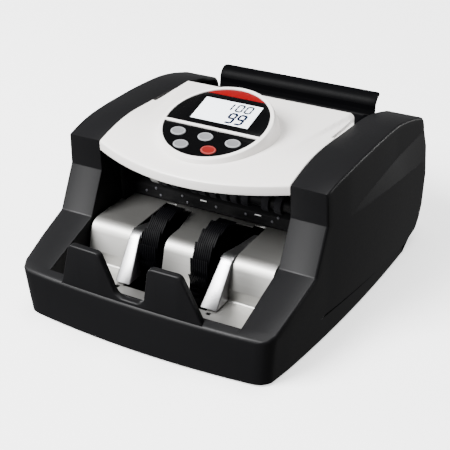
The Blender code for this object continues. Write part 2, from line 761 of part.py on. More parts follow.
def sensor_bar():
    """Lower note guide with the counting sensors, between the frame plates."""
    outline = [(-21.4, 73.0), (-20.4, 84.0), (-14.0, 89.6), (-4.0, 89.6), (-4.0, 73.0)]
    return make("sensor_bar", prism("X", outline, -96.2, 96.2), BLACK)


# ---------------------------------------------------------------- frame and drive


def frame_plate(name, side):
    """Steel plate that carries the shafts."""
    outline = [(-72, 8), (-72, 44), (-66, 60), (-58, 66.5), (-33.5, 67.5), (-33.5, 112), (-12, 130)]
    outline += [(75, 131), (88, 134), (120, 131), (142, 121), (144, 112), (134, 52)]
    outline += [(134, 18), (118, 18), (104, 6.5), (-60, 6.5)]
    low, high = sorted((side * PLATE_X[0], side * PLATE_X[1]))
    plate = make(name, prism("X", outline, low, high), FRAME)
    span = (low - 1, high + 1)
    for centre in (STACKER_C, FEED_C):
        combine(plate, bar(centre, BEARING_R + GAP + 0.2, span, 14))
    for centre, radius in ((EXIT_C, 4.4), (PICKUP_C, 4.4), (ROD_C, 3.3)):
        combine(plate, bar(centre, radius, span, 10))
    if side > 0:
        combine(plate, bar(MOTOR_C, 9.0, span, 14))
    return plate


def bearings():
    """Ball bearings of the stacker and feed shafts, seated in the frame plates."""
    for label, centre in (("stacker", STACKER_C), ("feed", FEED_C)):
        for where, side in (("left", -1), ("right", 1)):
            x = side * (PLATE_X[0] + PLATE_X[1]) / 2
            ring = [(SHAFT_R + GAP, -2.5), (BEARING_R, -2.5), (BEARING_R, 2.5), (SHAFT_R + GAP, 2.5)]
            shape = turned(ring, 12, along_x(centre, x))
            smooth(make(f"{label}_bearing_{where}", shape, ZINC, (x, *centre)))


def make_gear(name, centre, teeth, phase):
    """A spur gear; `phase` is the angle of the middle of one tooth."""
    pitch = GEAR_MODULE * teeth / 2
    step = 2 * math.pi / teeth
    tooth = [(-0.18, -1.25), (-0.13, 0.9), (0.13, 0.9), (0.18, -1.25)]  # share of a step, height in modules
    outline = []
    for number in range(teeth):
        for turn, height in tooth:
            radius = pitch + height * GEAR_MODULE
            angle = phase + (number + turn) * step
            outline.append((centre[0] + radius * math.cos(angle), centre[1] + radius * math.sin(angle)))
    made = make(name, prism("X", outline, *GEAR_X), NYLON, (0, *centre))
    return combine(made, bar(centre, SHAFT_R + GAP, (GEAR_X[0] - 1, GEAR_X[1] + 1)))


def gears():
    """The feed gear turns the exit gear the other way at twice its speed."""
    line = math.atan2(EXIT_C[1] - FEED_C[1], EXIT_C[0] - FEED_C[0])
    make_gear("feed_gear", FEED_C, FEED_TEETH, line)
    make_gear("exit_gear", EXIT_C, EXIT_TEETH, line + math.pi + math.pi / EXIT_TEETH)


def flanged(radius, x, flange=2.0):
    """Profile points of a belt pulley on the shaft between two x."""
    a, b = x[0] - 0.4, x[1] + 0.4
    r = radius + flange
    low = [(SHAFT_R, a - 1), (r, a - 1), (r, a), (radius, a)]
    return low + [(radius, b), (r, b), (r, b + 1), (SHAFT_R, b + 1)]


def feed_assembly():
    """Feed shaft with its pulleys, the rubber feed roller and the slotted encoder disc."""
    profile = [(0, PICKUP_BELT_X[0] - 3), (SHAFT_R, PICKUP_BELT_X[0] - 3)] + flanged(12.0, PICKUP_BELT_X, 1.5)
    profile += flanged(9.0, STACKER_BELT_X, 1.5) + flanged(16.0, DRIVE_X, 1.5) + [(SHAFT_R, 121), (0, 121)]
    smooth(make("feed_shaft", turned(profile, 12, along_x(FEED_C)), ZINC, (0, *FEED_C)))
    bore = SHAFT_R + GAP
    sleeve = [(bore, -84), (16, -84), (16, -30), (13, -29), (13, 29), (16, 30), (16, 84), (bore, 84)]
    smooth(make("feed_roller", turned(sleeve, 16, along_x(FEED_C)), RUBBER, (0, *FEED_C)))
    disc = [(bore, 88), (20, 88), (20, 89.2), (bore, 89.2)]
    smooth(make("encoder_disc", turned(disc, 16, along_x(FEED_C)), FRAME, (0, *FEED_C)))


def exit_assembly():
    """Exit shaft with its rubber bands."""
    profile = [(0, -103), (SHAFT_R, -103), (SHAFT_R, -66), (8.4, -66), (8.4, -57), (6, -57)]
    for middle in (-50, -38, -17, -8, 4, 16, 26.5, 38, 59, 72):
        profile += [(6, middle - 3.6), (9, middle - 3.6), (9, middle + 3.6), (6, middle + 3.6)]
    profile += [(6, 84), (SHAFT_R, 84), (SHAFT_R, 111), (0, 111)]
    smooth(make("exit_roller", turned(profile, 10, along_x(EXIT_C)), RUBBER, (0, *EXIT_C)))


def pickup_assembly():
    """Pick-up shaft with two ribbed rollers that reach through the hopper plate."""
    profile = [(0, -121), (SHAFT_R, -121)] + flanged(12.0, PICKUP_BELT_X, 1.5) + [(SHAFT_R, 101), (0, 101)]
    smooth(make("pickup_shaft", turned(profile, 12, along_x(PICKUP_C)), ZINC, (0, *PICKUP_C)))
    for name, side in (("left_pickup_roller", -1), ("right_pickup_roller", 1)):
        low, high = sorted((side * 28.0, side * 44.0))
        ring = [(SHAFT_R + GAP, low), (12, low), (12, high), (SHAFT_R + GAP, high)]
        smooth(make(name, turned(ring, 14, along_x(PICKUP_C)), RUBBER, (0, *PICKUP_C)))


def motor():
    """Brushed motor on the right frame plate, and the pulley on its shaft."""
    body = [(0, 30), (18, 30), (20, 32), (20, 88), (18, 90), (8, 90), (8, 95.9), (0, 95.9)]
    smooth(make("motor", turned(body, 18, along_x(MOTOR_C)), ZINC))
    profile = [(0, 96.3), (3, 96.3), (3, 110.5)] + flanged(8.0, DRIVE_X, 1.5)[1:-1] + [(0, DRIVE_X[1] + 1.4)]
    smooth(make("motor_pulley", turned(profile, 12, along_x(MOTOR_C)), ZINC, (0, *MOTOR_C)))


def belt_loop(first, second, radii, lift):
    """Outline of an open belt round two pulleys, `lift` above their rims."""
    a, b = Vector(first), Vector(second)
    r1, r2 = radii[0] + lift, radii[1] + lift
    span = (b - a).length
    heading = math.atan2(*(b - a).yx)
    tilt = math.acos((r1 - r2) / span)
    points = []
    for centre, radius, start, end in (
        (a, r1, heading + tilt, heading - tilt + 2 * math.pi),
        (b, r2, heading - tilt, heading + tilt),
    ):
        steps = 6
        for k in range(steps + 1):
            angle = start + (end - start) * k / steps
            reach = radius / math.cos((end - start) / steps / 2)
            points.append((centre.x + reach * math.cos(angle), centre.y + reach * math.sin(angle)))
    return points


def belt(name, first, second, radii, x):
    outer = belt_loop(first, second, radii, GAP + BELT_T)
    inner = belt_loop(first, second, radii, GAP)
    shape = bmesh.new()
    ends = ((x[0], inner), (x[0], outer), (x[1], outer), (x[1], inner))
    loops = [[shape.verts.new((t, *p)) for p in line] for t, line in ends]
    for low, high in zip(loops, loops[1:] + loops[:1]):
        for i in range(len(outer)):
            j = (i + 1) % len(outer)
            shape.faces.new((low[i], low[j], high[j], high[i]))
    return smooth(make(name, shape, RUBBER))


def belts():
    belt("drive_belt", MOTOR_C, FEED_C, (8.0, 16.0), DRIVE_X)
    belt("pickup_belt", FEED_C, PICKUP_C, (12.0, 12.0), PICKUP_BELT_X)
    belt("stacker_belt", STACKER_C, FEED_C, (18.0, 9.0), STACKER_BELT_X)


# ---------------------------------------------------------------- hopper and rear


def plate_z(y):
    """Upper face of the hopper's sloping bottom."""
    rise = (HOPPER_KNEE[1] - HOPPER_FOOT[1]) / (HOPPER_KNEE[0] - HOPPER_FOOT[0])
    return HOPPER_FOOT[1] + rise * (y - HOPPER_FOOT[0])


def hopper_path():
    """Sloping bottom, steep back and the lip that rolls backwards, in y, z."""
    path = [HOPPER_KNEE, (147.5, 131.0)]
    path += [(161.0 - 13.5 * math.cos(a), 132.5 + 13.5 * math.sin(a)) for a in (0.25, 0.6, 0.95, 1.25)]
    path += [(161.5, 145.6), (163.2, 142.8)]
    return [HOPPER_FOOT] + path


def hopper_plate():
    """Hopper bottom and back in one moulding, with windows for the rollers and slots for the guides."""
    outline = path_wall(hopper_path(), -HOPPER_T)
    plate = make("hopper_plate", prism("X", outline, -HOPPER_HALF, HOPPER_HALF), BLACK)
    for side in (-1, 1):
        combine(plate, box(sorted((side * 26.5, side * 45.5)), (84, 112), (84, 112)))
        combine(plate, box(sorted((side * 56.0, side * 89.5)), (115.5, 124.5), (95, 122)))
    return plate


def bill_guide(name, side):
    """Side guide that slides on the rod to suit the note's length."""
    outline = [(109, plate_z(109) + 1.2), (117, plate_z(117) + 1.2), (117, 105.4)]
    round_foot = (2.3, 3.1, 3.9, 4.7, 5.5, 6.3, 7.1)
    outline += [(ROD_C[0] + 6 * math.cos(a), ROD_C[1] + 6 * math.sin(a)) for a in round_foot]
    outline += [(123, 105.4), (123, plate_z(123) + 1.2), (138, plate_z(138) + 1.2)]
    outline += [(138, 129), (134, 132), (114, 132), (109, 127)]
    low, high = sorted((side * 84.0, side * 88.0))
    guide = make(name, prism("X", outline, low, high), BLACK, (side * 86.0, *ROD_C))
    return combine(guide, bar(ROD_C, 3.4, (low - 1, high + 1)))


def hopper_front():
    """Cross plate, separator block under it, and the knob that sets the gap."""
    cross = make("cross_plate", box((-96.2, 96.2), (38, 106), (124.3, 126.8)), FRAME)
    combine(cross, turned([(0, 120), (3.4, 120), (3.4, 130), (0, 130)], 12, Matrix.Translation((0, 96, 0))))
    outline = [(36, 100), (44, 97.2), (56, 97.2), (66, 102), (100, 112), (104, 116), (104, 124), (36, 124)]
    block = make("separator_block", prism("X", outline, -24, 24), BLACK)
    combine(block, turned([(0, 90), (3.4, 90), (3.4, 130), (0, 130)], 12, Matrix.Translation((0, 96, 0))))
    knob = [(0, 110), (3, 110), (3, 127.1), (9.5, 127.1), (9.5, 137.5), (8.5, 139), (0, 139)]
    smooth(make("adjusting_knob", turned(knob, 14, Matrix.Translation((0, 96, 0))), BLACK, (0, 96, 127)))
    rod = bar(ROD_C, 3.0, (-100.5, 100.5), 12)
    smooth(make("guide_rod", rod, ZINC))


def rear_door():
    """Door over the transport, hinged at its foot, that opens backwards for cleaning."""
    outline = [(143.2, 53.5), (146.5, 50.6), (149.2, 53.5), (150.4, 74), (151.4, 116)]
    outline += [(149.0, 118.5), (146.6, 116), (145.4, 74)]
    door = make("rear_door", prism("X", outline, -95.8, 95.8), BLACK, (0, *DOOR_HINGE))
    for z in (64, 72, 80, 88):
        combine(door, box((-60, 60), (140, 155), (z, z + 3.5)))
    return door


def rear_fittings():
    """Power inlet and rocker switch in the rear wall, transformer and main board on the floor."""
    inlet = make("power_inlet", box((-75.4, -44.6), (122, 138.8), (20.6, 43.4)), BLACK)
    combine(inlet, box((-78.5, -41.5), (138.8, 141.0), (18.5, 45.5)), "UNION")
    combine(inlet, box((-72.2, -47.8), (126.0, 144.0), (23.8, 40.2)))
    for x, z in ((-67.0, 30.5), (-60.0, 34.0), (-53.0, 30.5)):
        combine(inlet, box((x - 1, x + 1), (124.0, 137.0), (z - 2, z + 2)), "UNION")
    switch = make("switch_frame", box((48.6, 71.4), (131, 138.8), (23.1, 40.9)), BLACK)
    combine(switch, box((46.5, 73.5), (138.8, 140.8), (21, 43)), "UNION")
    combine(switch, box((51, 69), (132.5, 144), (25.5, 38.5)))
    rocker = [(134.5, 26.2), (140.4, 26.2), (141.4, 32), (143.0, 37.6), (136.0, 37.6), (133.6, 32)]
    make("power_rocker", prism("X", rocker, 51.6, 68.4), BLACK, (60, 137, 32))
    make("transformer", box((-86, -38), (52, 104), (6.6, 46)), ZINC)
    make("main_board", box((-90, 90), (-10, 46), (9, 10.6)), BOARD)


# ---------------------------------------------------------------- the machine

base_tray()
side_cover("left_side_cover", -1)
side_cover("right_side_cover", 1)
top_cover()
panels()
keys()
stacker_plate()
note_rib("left_note_rib")
note_rib("right_note_rib")
note_stop()
stacker_assembly()
sensor_bar()
frame_plate("left_frame_plate", -1)
frame_plate("right_frame_plate", 1)
bearings()
gears()
feed_assembly()
exit_assembly()
pickup_assembly()
motor()
belts()
hopper_plate()
bill_guide("left_bill_guide", -1)
bill_guide("right_bill_guide", 1)
hopper_front()
rear_door()
rear_fittings()
feet()
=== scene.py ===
"""Looks of the banknote counting machine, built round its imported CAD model.

The shapes repeat the CAD model's own sizes, in millimetres, with finer curves, rounded edges and procedural
materials. X is to the right seen from the front, Y points to the back and Z up.
"""

import math

import bmesh
import bpy
from mathutils import Matrix, Vector
from mathutils.geometry import delaunay_2d_cdt


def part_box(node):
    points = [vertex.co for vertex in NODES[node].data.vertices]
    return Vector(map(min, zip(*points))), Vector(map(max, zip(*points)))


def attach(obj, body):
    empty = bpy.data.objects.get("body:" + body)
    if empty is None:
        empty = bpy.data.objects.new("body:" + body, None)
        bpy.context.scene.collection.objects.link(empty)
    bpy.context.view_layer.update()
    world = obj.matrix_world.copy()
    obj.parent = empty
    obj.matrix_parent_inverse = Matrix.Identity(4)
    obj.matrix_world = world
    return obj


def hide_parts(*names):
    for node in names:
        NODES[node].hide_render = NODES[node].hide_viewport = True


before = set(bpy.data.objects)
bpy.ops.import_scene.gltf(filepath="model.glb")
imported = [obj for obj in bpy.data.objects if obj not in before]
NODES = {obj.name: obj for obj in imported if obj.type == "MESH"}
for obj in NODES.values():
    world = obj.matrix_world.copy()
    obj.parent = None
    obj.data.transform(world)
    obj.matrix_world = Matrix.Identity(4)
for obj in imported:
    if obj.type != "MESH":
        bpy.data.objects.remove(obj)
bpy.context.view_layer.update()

MM = 0.001
MERGE = 0.002

# Body
POCKET_HALF = 100.0
BODY_HALF = 145.0
FRONT_NARROWING = 18.5
FRONT_Y = -163.5
BOTTOM_Z = 2.0
RIM_Z = 47.4
WALL = 2.6
SLOPE_TOP = (-81.7, 72.2)
FACET_TOP = (-60.0, 112.3)
FACE_Y = -60.0
CREST_Z = 152.5
CREST_Y = 5.0
CORNER_R = 12.0
EDGE_R = 2.4
FOOT_Z = -14.0
SWOOSH_TIP = (-19.0, 104.0)
SWOOSH_DEPTH = 5.0
CREASE_START = (-72.0, 26.5)
CREASE_SLOPE = 0.09
CREASE_DEPTH = 2.5
GROOVE_DEPTH = 1.5
GROOVE_H = 1.9
GROOVE_LIP = 0.3
SIDE_LIMIT = 144.98

# Top cover, island and panels
COVER_HALF = POCKET_HALF - 0.3
COVER_BOW = 25.0
COVER_REAR_Y = 86.0
COVER_T = 2.5
LIP_H = 9.5
ISLAND = (0.0, -13.6, 164.5)
ISLAND_TILT = math.radians(15.2)
DISC_R = 50.3
RECESS_H = 3.2
BAR_V = (-11.0, -8.0)
ACCENT_V = 39.5
PANEL_TOP = -0.9
DIGIT_SLANT = 0.08
WINDOW = (2.0, 16.6, 61.0, 33.0)
KEY_R = 7.6
KEY_OVAL = 0.72
KEYS = {
    "key_mode": (-28.0, -22.0),
    "key_add": (1.0, -22.0),
    "key_batch": (30.0, -23.0),
    "key_detect": (-16.0, -38.0),
    "key_reset": (13.0, -38.0),
}

# Shafts in y, z, and what turns on them
STACKER_C = (-57.5, 45.5)
EXIT_C = (-22.0, 100.0)
ROD_C = (120.0, 100.0)
SHAFT_R = 4.0
WHEEL_R = 39.5
WHEEL_LANDS = 9
WHEELS = {"left_stacker_wheel": (-39.3, -21.5), "right_stacker_wheel": (15.5, 34.0)}
FINGERS = 16
FINGER_SWEEP = math.radians(74.0)
HUB_R = 14.0
EXIT_BANDS = (-50, -38, -17, -8, 4, 16, 26.5, 38, 59, 72)

# Stainless plate
STEEL_T = 1.2
PLATE_HALF = 97.5
TONGUE_HALF = 15.0
TONGUE_FLARE = 6.3
SLOT_Y = (-117.0, -26.5)
RIBS = {"left_note_rib": (-41.5, -52.5), "right_note_rib": (44.5, 56.5)}
RIB_LEAN = 5.5
RIB_LAP = 1.7

# Hopper and knob
KNURLS = 32
HOPPER_FOOT = (75.0, 88.0)
HOPPER_KNEE = (146.0, 125.0)
HOPPER_HALF = 90.5
HOPPER_T = 2.5


# -------- materials


def put(node, values):
    """Set a node's inputs by their names."""
    for key, value in values.items():
        node.inputs[key].default_value = value


class Shader:
    """A Principled material under construction, with its nodes in object space."""

    def __init__(self, name, roughness, metallic=0.0, coat=0.0, specular=0.5):
        self.made = bpy.data.materials.new(name)
        self.made.use_nodes = True
        self.tree = self.made.node_tree
        self.base = self.tree.nodes["Principled BSDF"]
        put(self.base, {"Roughness": roughness, "Metallic": metallic})
        put(self.base, {"Coat Weight": coat, "Specular IOR Level": specular})
        self.place = self.add("ShaderNodeTexCoord").outputs["Object"]

    def add(self, kind, **values):
        node = self.tree.nodes.new(kind)
        put(node, values)
        return node

    def join(self, source, target):
        self.tree.links.new(source, target)

    def noise(self, scale, detail=3.0, stretch=(1, 1, 1)):
        """Noise over the object, in features per metre; `stretch` multiplies the scale along each axis."""
        mapping = self.add("ShaderNodeMapping", Scale=stretch)
        self.join(self.place, mapping.inputs["Vector"])
        noise = self.add("ShaderNodeTexNoise", Scale=scale, Detail=detail, Roughness=0.55)
        self.join(mapping.outputs["Vector"], noise.inputs["Vector"])
        return noise.outputs["Fac"]

    def colours(self, noise, first, second):
        """Colour that varies between two values. `noise` holds the arguments of the noise that spreads it."""
        ramp = self.add("ShaderNodeValToRGB")
        for stop, place, colour in zip(ramp.color_ramp.elements, (0.32, 0.68), (first, second)):
            stop.position = place
            stop.color = (*colour, 1)
        self.join(self.noise(*noise), ramp.inputs["Fac"])
        self.join(ramp.outputs["Color"], self.base.inputs["Base Color"])

    def gloss(self, noise, low, high):
        """Roughness that varies between two values."""
        spread = self.add("ShaderNodeMapRange")
        put(spread, {"From Min": 0.3, "From Max": 0.7, "To Min": low, "To Max": high})
        self.join(self.noise(*noise), spread.inputs["Value"])
        self.join(spread.outputs["Result"], self.base.inputs["Roughness"])

    def bumps(self, noise, strength, depth):
        """Relief; `depth` is in metres."""
        bump = self.add("ShaderNodeBump", Strength=strength, Distance=depth)
        self.join(self.noise(*noise), bump.inputs["Height"])
        self.join(bump.outputs["Normal"], self.base.inputs["Normal"])


def shade(colour, factor):
    return tuple(min(1.0, c * factor) for c in colour)


def plastic(name, colour, roughness, grain=2200.0, depth=0.00003, spread=0.05, coat=0.0, specular=0.5):
    """Moulded plastic: fine spark-eroded grain, with slight changes of tone and gloss over the moulding."""
    made = Shader(name, roughness, coat=coat, specular=specular)
    made.colours((9.0, 4.0), shade(colour, 1 - spread), shade(colour, 1 + spread))
    made.gloss((400.0, 3.0), roughness - 0.025, roughness + 0.025)
    made.bumps((grain, 2.0), 0.25, depth)
    return made.made


def brushed(name, colour, roughness, along=(0.01, 1, 1), depth=0.000004, scale=2600.0):
    """Brushed metal whose fine scratches run along one axis."""
    made = Shader(name, roughness, metallic=1.0)
    made.colours((scale * 0.6, 4.0, along), shade(colour, 0.965), shade(colour, 1.03))
    made.gloss((scale * 0.8, 3.0, along), roughness - 0.03, roughness + 0.04)
    made.bumps((scale, 3.0, along), 0.2, depth)
    return made.made


def rubber(name, colour, roughness):
    """Matt rubber with a dusty, slightly blotched surface."""
    made = Shader(name, roughness, specular=0.05)
    made.colours((60.0, 6.0), shade(colour, 0.8), shade(colour, 1.25))
    made.gloss((120.0, 4.0), roughness - 0.08, roughness + 0.08)
    made.bumps((900.0, 3.0), 0.4, 0.00008)
    return made.made


def board(name):
    """Solder mask with a faint pattern of copper underneath."""
    made = Shader(name, 0.4, coat=0.3)
    made.colours((220.0, 0.0), (0.008, 0.07, 0.03), (0.02, 0.15, 0.06))
    made.bumps((500.0, 1.0), 0.3, 0.0001)
    return made.made


def lcd_glass(name):
    """Pale backlit display with a faint bluish cast that comes and goes over its face."""
    made = Shader(name, 0.25, coat=0.5)
    made.colours((14.0, 2.0), (0.82, 0.87, 0.92), (0.9, 0.93, 0.96))
    put(made.base, {"Emission Color": (0.86, 0.93, 1.0, 1), "Emission Strength": 1.2})
    return made.made


HOUSING = plastic("housing_plastic", (0.0042, 0.0042, 0.0047), 0.4, specular=0.14)
INNER = plastic("inner_plastic", (0.003, 0.003, 0.0033), 0.6, specular=0.1)
SATIN = plastic("satin_black", (0.003, 0.003, 0.0033), 0.36, depth=0.00002, specular=0.18)
WHITE = plastic("white_plastic", (0.84, 0.81, 0.785), 0.36, depth=0.00001, spread=0.008, coat=0.1)
GLOSS = plastic("panel_gloss", (0.001, 0.001, 0.0012), 0.25, 300.0, 0.000005, 0.1, specular=0.08)
ACCENT = plastic("accent_red", (0.16, 0.0, 0.0012), 0.45, 300.0, 0.000005, 0.03, specular=0.08)
KEY_GREY = plastic("key_grey", (0.15, 0.153, 0.16), 0.42, specular=0.3)
KEY_RIM = plastic("key_rim", (0.26, 0.265, 0.275), 0.35, spread=0.03, specular=0.3)
KEY_RED = plastic("key_red", (0.15, 0.004, 0.003), 0.42, specular=0.2)
KEY_RED_RIM = plastic("key_red_rim", (0.24, 0.03, 0.026), 0.35, spread=0.03, specular=0.3)
LCD = lcd_glass("lcd_face")
DIGIT_THIN = plastic("digit_teal", (0.0005, 0.0045, 0.015), 0.6, specular=0.02)
DIGIT_BOLD = plastic("digit_navy", (0.0005, 0.0035, 0.018), 0.6, specular=0.02)
STEEL = brushed("stainless", (0.37, 0.366, 0.352), 0.46)
BRIGHT = brushed("bright_stainless", (0.43, 0.43, 0.44), 0.3, depth=0.0000005)
ZINC = brushed("zinc_steel", (0.5, 0.5, 0.5), 0.36, (1, 1, 1), scale=1500.0)
FRAME = plastic("powder_coat", (0.006, 0.006, 0.0065), 0.55, grain=900.0, depth=0.00006, specular=0.3)
RUBBER = rubber("black_rubber", (0.0011, 0.0011, 0.0016), 0.55)
BAND = rubber("grey_rubber", (0.014, 0.014, 0.016), 0.62)
PALE = plastic("pale_roller", (0.16, 0.16, 0.155), 0.5)
NYLON = plastic("nylon", (0.74, 0.71, 0.62), 0.45)
BOARD = board("circuit_board")
BAR = plastic("sensor_bar_plastic", (0.003, 0.003, 0.0034), 0.6, depth=0.00001, specular=0.08)
HOPPER = plastic("hopper_plastic", (0.0012, 0.0012, 0.0015), 0.4, depth=0.00001, specular=0.02)
LENS = plastic("sensor_lens", (0.05, 0.05, 0.06), 0.3, coat=0.3)
MARK = plastic("sensor_mark", (0.75, 0.75, 0.75), 0.4)
BRASS = brushed("contact_brass", (0.7, 0.6, 0.4), 0.3)


# -------- mesh helpers


def linked(name, data):
    """A new object in the scene."""
    obj = bpy.data.objects.new(name, data)
    bpy.context.scene.collection.objects.link(obj)
    return obj


def solid(name, shape):
    """A bmesh in millimetres as an object in metres."""
    bmesh.ops.recalc_face_normals(shape, faces=shape.faces)
    bmesh.ops.scale(shape, vec=(MM, MM, MM), verts=shape.verts)
    mesh = bpy.data.meshes.new(name)
    shape.to_mesh(mesh)
    shape.free()
    return linked(name, mesh)


def piece(name, shape, material, body="chassis", stands_for=(), slot=None, degrees=38.0):
    """Turn a bmesh in millimetres into a shown piece that rides on a CAD body."""
    bmesh.ops.remove_doubles(shape, verts=shape.verts, dist=MERGE)
    obj = solid(name, shape)
    obj.data.materials.append(material)
    return settle(obj, body, stands_for, slot, degrees)


def settle(obj, body="chassis", stands_for=(), slot=None, degrees=38.0):
    """Smooth a piece, and say what it rides on and which CAD nodes it stands for."""
    obj.data.shade_smooth()
    obj.data.set_sharp_from_angle(angle=math.radians(degrees))
    if body:
        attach(obj, body)
    if stands_for:
        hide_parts(*stands_for)
    return obj


def fixed(obj, node, slot, degrees):
    """Settle a piece on the chassis in place of one CAD node."""
    settle(obj, "chassis", (node,), slot, degrees)


def combine(obj, shape, operation="DIFFERENCE"):
    """Cut a bmesh in millimetres from an object, or join it on."""
    tool = solid("tool", shape)
    step = obj.modifiers.new("step", "BOOLEAN")
    step.operation = operation
    step.solver = "EXACT"
    step.object = tool
    bpy.context.view_layer.update()
    graph = bpy.context.evaluated_depsgraph_get()
    made = bpy.data.meshes.new_from_object(obj.evaluated_get(graph))
    obj.modifiers.clear()
    obj.data = made
    bpy.data.objects.remove(tool, do_unlink=True)


def soften(shape, radius, steps=2, degrees=40.0):
    """Round every edge sharper than `degrees`."""
    bmesh.ops.remove_doubles(shape, verts=shape.verts, dist=MERGE)
    bmesh.ops.recalc_face_normals(shape, faces=shape.faces)
    limit = math.radians(degrees)
    sharp = [e for e in shape.edges if len(e.link_faces) == 2 and e.calc_face_angle(0.0) > limit]
    bmesh.ops.bevel(
        shape, geom=sharp, offset=radius, segments=steps, profile=0.5, affect="EDGES", clamp_overlap=True
    )
    return shape


def split_large(shape):
    """Cut faces with many corners into triangles, so that they can be bent."""
    bmesh.ops.triangulate(shape, faces=[f for f in shape.faces if len(f.verts) > 4])


def prism(axis, outline, low, high):
    """An outline in the other two axes, in XYZ order, extruded along `axis`."""
    order = {"X": (2, 0, 1), "Y": (0, 2, 1), "Z": (0, 1, 2)}[axis]
    return loft([[[(a, b, t)[k] for k in order] for a, b in outline] for t in (low, high)], "whole")


def box(x, y, z):
    """A box from (low, high) pairs."""
    return prism("Z", [(x[0], y[0]), (x[1], y[0]), (x[1], y[1]), (x[0], y[1])], *z)


def merged(*shapes):
    """Several bmeshes as one."""
    whole = bmesh.new()
    for shape in shapes:
        mesh = bpy.data.meshes.new("part")
        shape.to_mesh(mesh)
        shape.free()
        whole.from_mesh(mesh)
        bpy.data.meshes.remove(mesh)
    return whole


def add_face(shape, *corners):
    """A face, where corners that are one point count once."""
    corners = list(dict.fromkeys(corners))
    if len(corners) > 2:
        shape.faces.new(corners)


def band(shape, low, high):
    """Faces between two closed loops of as many points."""
    for i in range(len(low)):
        j = (i + 1) % len(low)
        add_face(shape, low[i], low[j], high[j], high[i])


def loft(rings, cap="strips"):
    """A surface through closed rings of as many points, with its ends closed.

    Strips join a ring's first half to its second. Pointed strips do so where the halves share their two ends.
    A whole cap is one face.
    """
    shape = bmesh.new()
    made = [[shape.verts.new(p) for p in ring] for ring in rings]
    for low, high in zip(made, made[1:]):
        band(shape, low, high)
    shift = 1 if cap == "pointed" else 0
    for ring in (made[0], made[-1]):
        if cap == "whole":
            shape.faces.new(ring)
            continue
        for i in range(len(ring) // 2 - 1 + shift):
            add_face(shape, ring[i], ring[i + 1], ring[shift - i - 2], ring[shift - i - 1])
    return shape


def turned(profile, count, to_world=None):
    """Turn (radius, height) points about +Z. Radius 0 closes an end; with no end on the axis it is a ring."""
    shape = bmesh.new()
    rings = []
    for radius, height in profile:
        if radius == 0:
            rings.append([shape.verts.new((0, 0, height))] * count)
        else:
            angles = even(0, 2 * math.pi, count)[:-1]
            spots = [(radius * math.cos(a), radius * math.sin(a), height) for a in angles]
            rings.append([shape.verts.new(spot) for spot in spots])
    if profile[0][0] > 0:
        rings.append(rings[0])
    for low, high in zip(rings, rings[1:]):
        band(shape, low, high)
    if to_world is not None:
        bmesh.ops.transform(shape, matrix=to_world, verts=shape.verts)
    return shape


def at(x, y, z=0.0):
    """Moves a shape to a place."""
    return Matrix.Translation((x, y, z))


def along_x(centre):
    """Puts a turned shape's axis along X through (y, z)."""
    return at(0.0, *centre) @ Matrix.Rotation(math.pi / 2, 4, "Y")


def rod(radius, low, high, count, to_world=None):
    """A cylinder between two heights."""
    return turned([(0, low), (radius, low), (radius, high), (0, high)], count, to_world)


def span(side, near, far):
    """The low and high x of what lies between two distances from the middle."""
    return sorted((side * near, side * far))


def arc(start, corner, end, steps):
    """Points from start to end on a curve whose ends aim at the corner."""
    shares = even(0.0, 1.0, steps)
    return [tuple(start * (1 - t) ** 2 + corner * 2 * t * (1 - t) + end * t**2) for t in shares]


def fillet(points, radius, steps=5, closed=False):
    """Replace the corners of a run of points by arcs, as large as `radius` where they fit."""
    made = [] if closed else [points[0]]
    count = len(points)
    for i in range(count) if closed else range(1, count - 1):
        here = Vector(points[i])
        before = Vector(points[i - 1])
        after = Vector(points[(i + 1) % count])
        back, ahead = before - here, after - here
        angle = back.angle(ahead, math.pi)
        if angle > math.radians(176):
            made.append(tuple(here))
            continue
        reach = min(radius / math.tan(angle / 2), 0.45 * back.length, 0.45 * ahead.length)
        start, end = here + back.normalized() * reach, here + ahead.normalized() * reach
        made += arc(start, here, end, steps)
    return made if closed else made + [points[-1]]


def path_wall(path, thickness):
    """The outline of a sheet of even thickness whose upper face follows an open path."""
    return list(path) + inset(path, -thickness, False)[::-1]


def in_strips(shape, places):
    """Cut a shape's faces across X, so that a later bend leaves them flat."""
    for x in places:
        parts = shape.verts[:] + shape.edges[:] + shape.faces[:]
        bmesh.ops.bisect_plane(shape, geom=parts, plane_co=(x, 0, 0), plane_no=(1, 0, 0))
    return shape


def clamp(value, low=0.0, high=1.0):
    return max(low, min(high, value))


def eased(value):
    """A clamped share with a soft start and end."""
    t = clamp(value)
    return t * t * (3 - 2 * t)


def even(low, high, count):
    """The ends of `count` equal steps from low to high."""
    return [low + (high - low) * k / count for k in range(count + 1)]


def spaced(low, high, step):
    """Even steps of about `step`."""
    return even(low, high, max(1, round((high - low) / step)))


def on_disc(shape):
    """Local u, v, height of the round island to world."""
    place = at(*ISLAND) @ Matrix.Rotation(ISLAND_TILT, 4, "X")
    bmesh.ops.transform(shape, matrix=place, verts=shape.verts)
    return shape


def inset(points, distance, closed=True):
    """Move each (a, b) to the right of its run, keeping faces parallel: inwards, on a clockwise outline.

    `distance` is one number or one for each point.
    """
    runs = [(Vector(b) - Vector(a)).normalized() for a, b in zip(points, points[1:] + points[:1])]
    if not closed:
        runs[-1] = runs[-2]
    moved = []
    for i, (a, b) in enumerate(points):
        first = runs[i - 1] if closed or i else runs[0]
        one = Vector((first.y, -first.x))
        normal = (one + Vector((runs[i].y, -runs[i].x))).normalized()
        away = distance[i] if isinstance(distance, list) else distance
        reach = away / max(normal.dot(one), 0.6)
        moved.append((a + normal.x * reach, b + normal.y * reach))
    return moved


def inside(point, polygon):
    hit = False
    for i in range(len(polygon)):
        (ax, ay), (bx, by) = polygon[i - 1], polygon[i]
        if (ay > point[1]) != (by > point[1]):
            if point[0] < ax + (point[1] - ay) / (by - ay) * (bx - ax):
                hit = not hit
    return hit


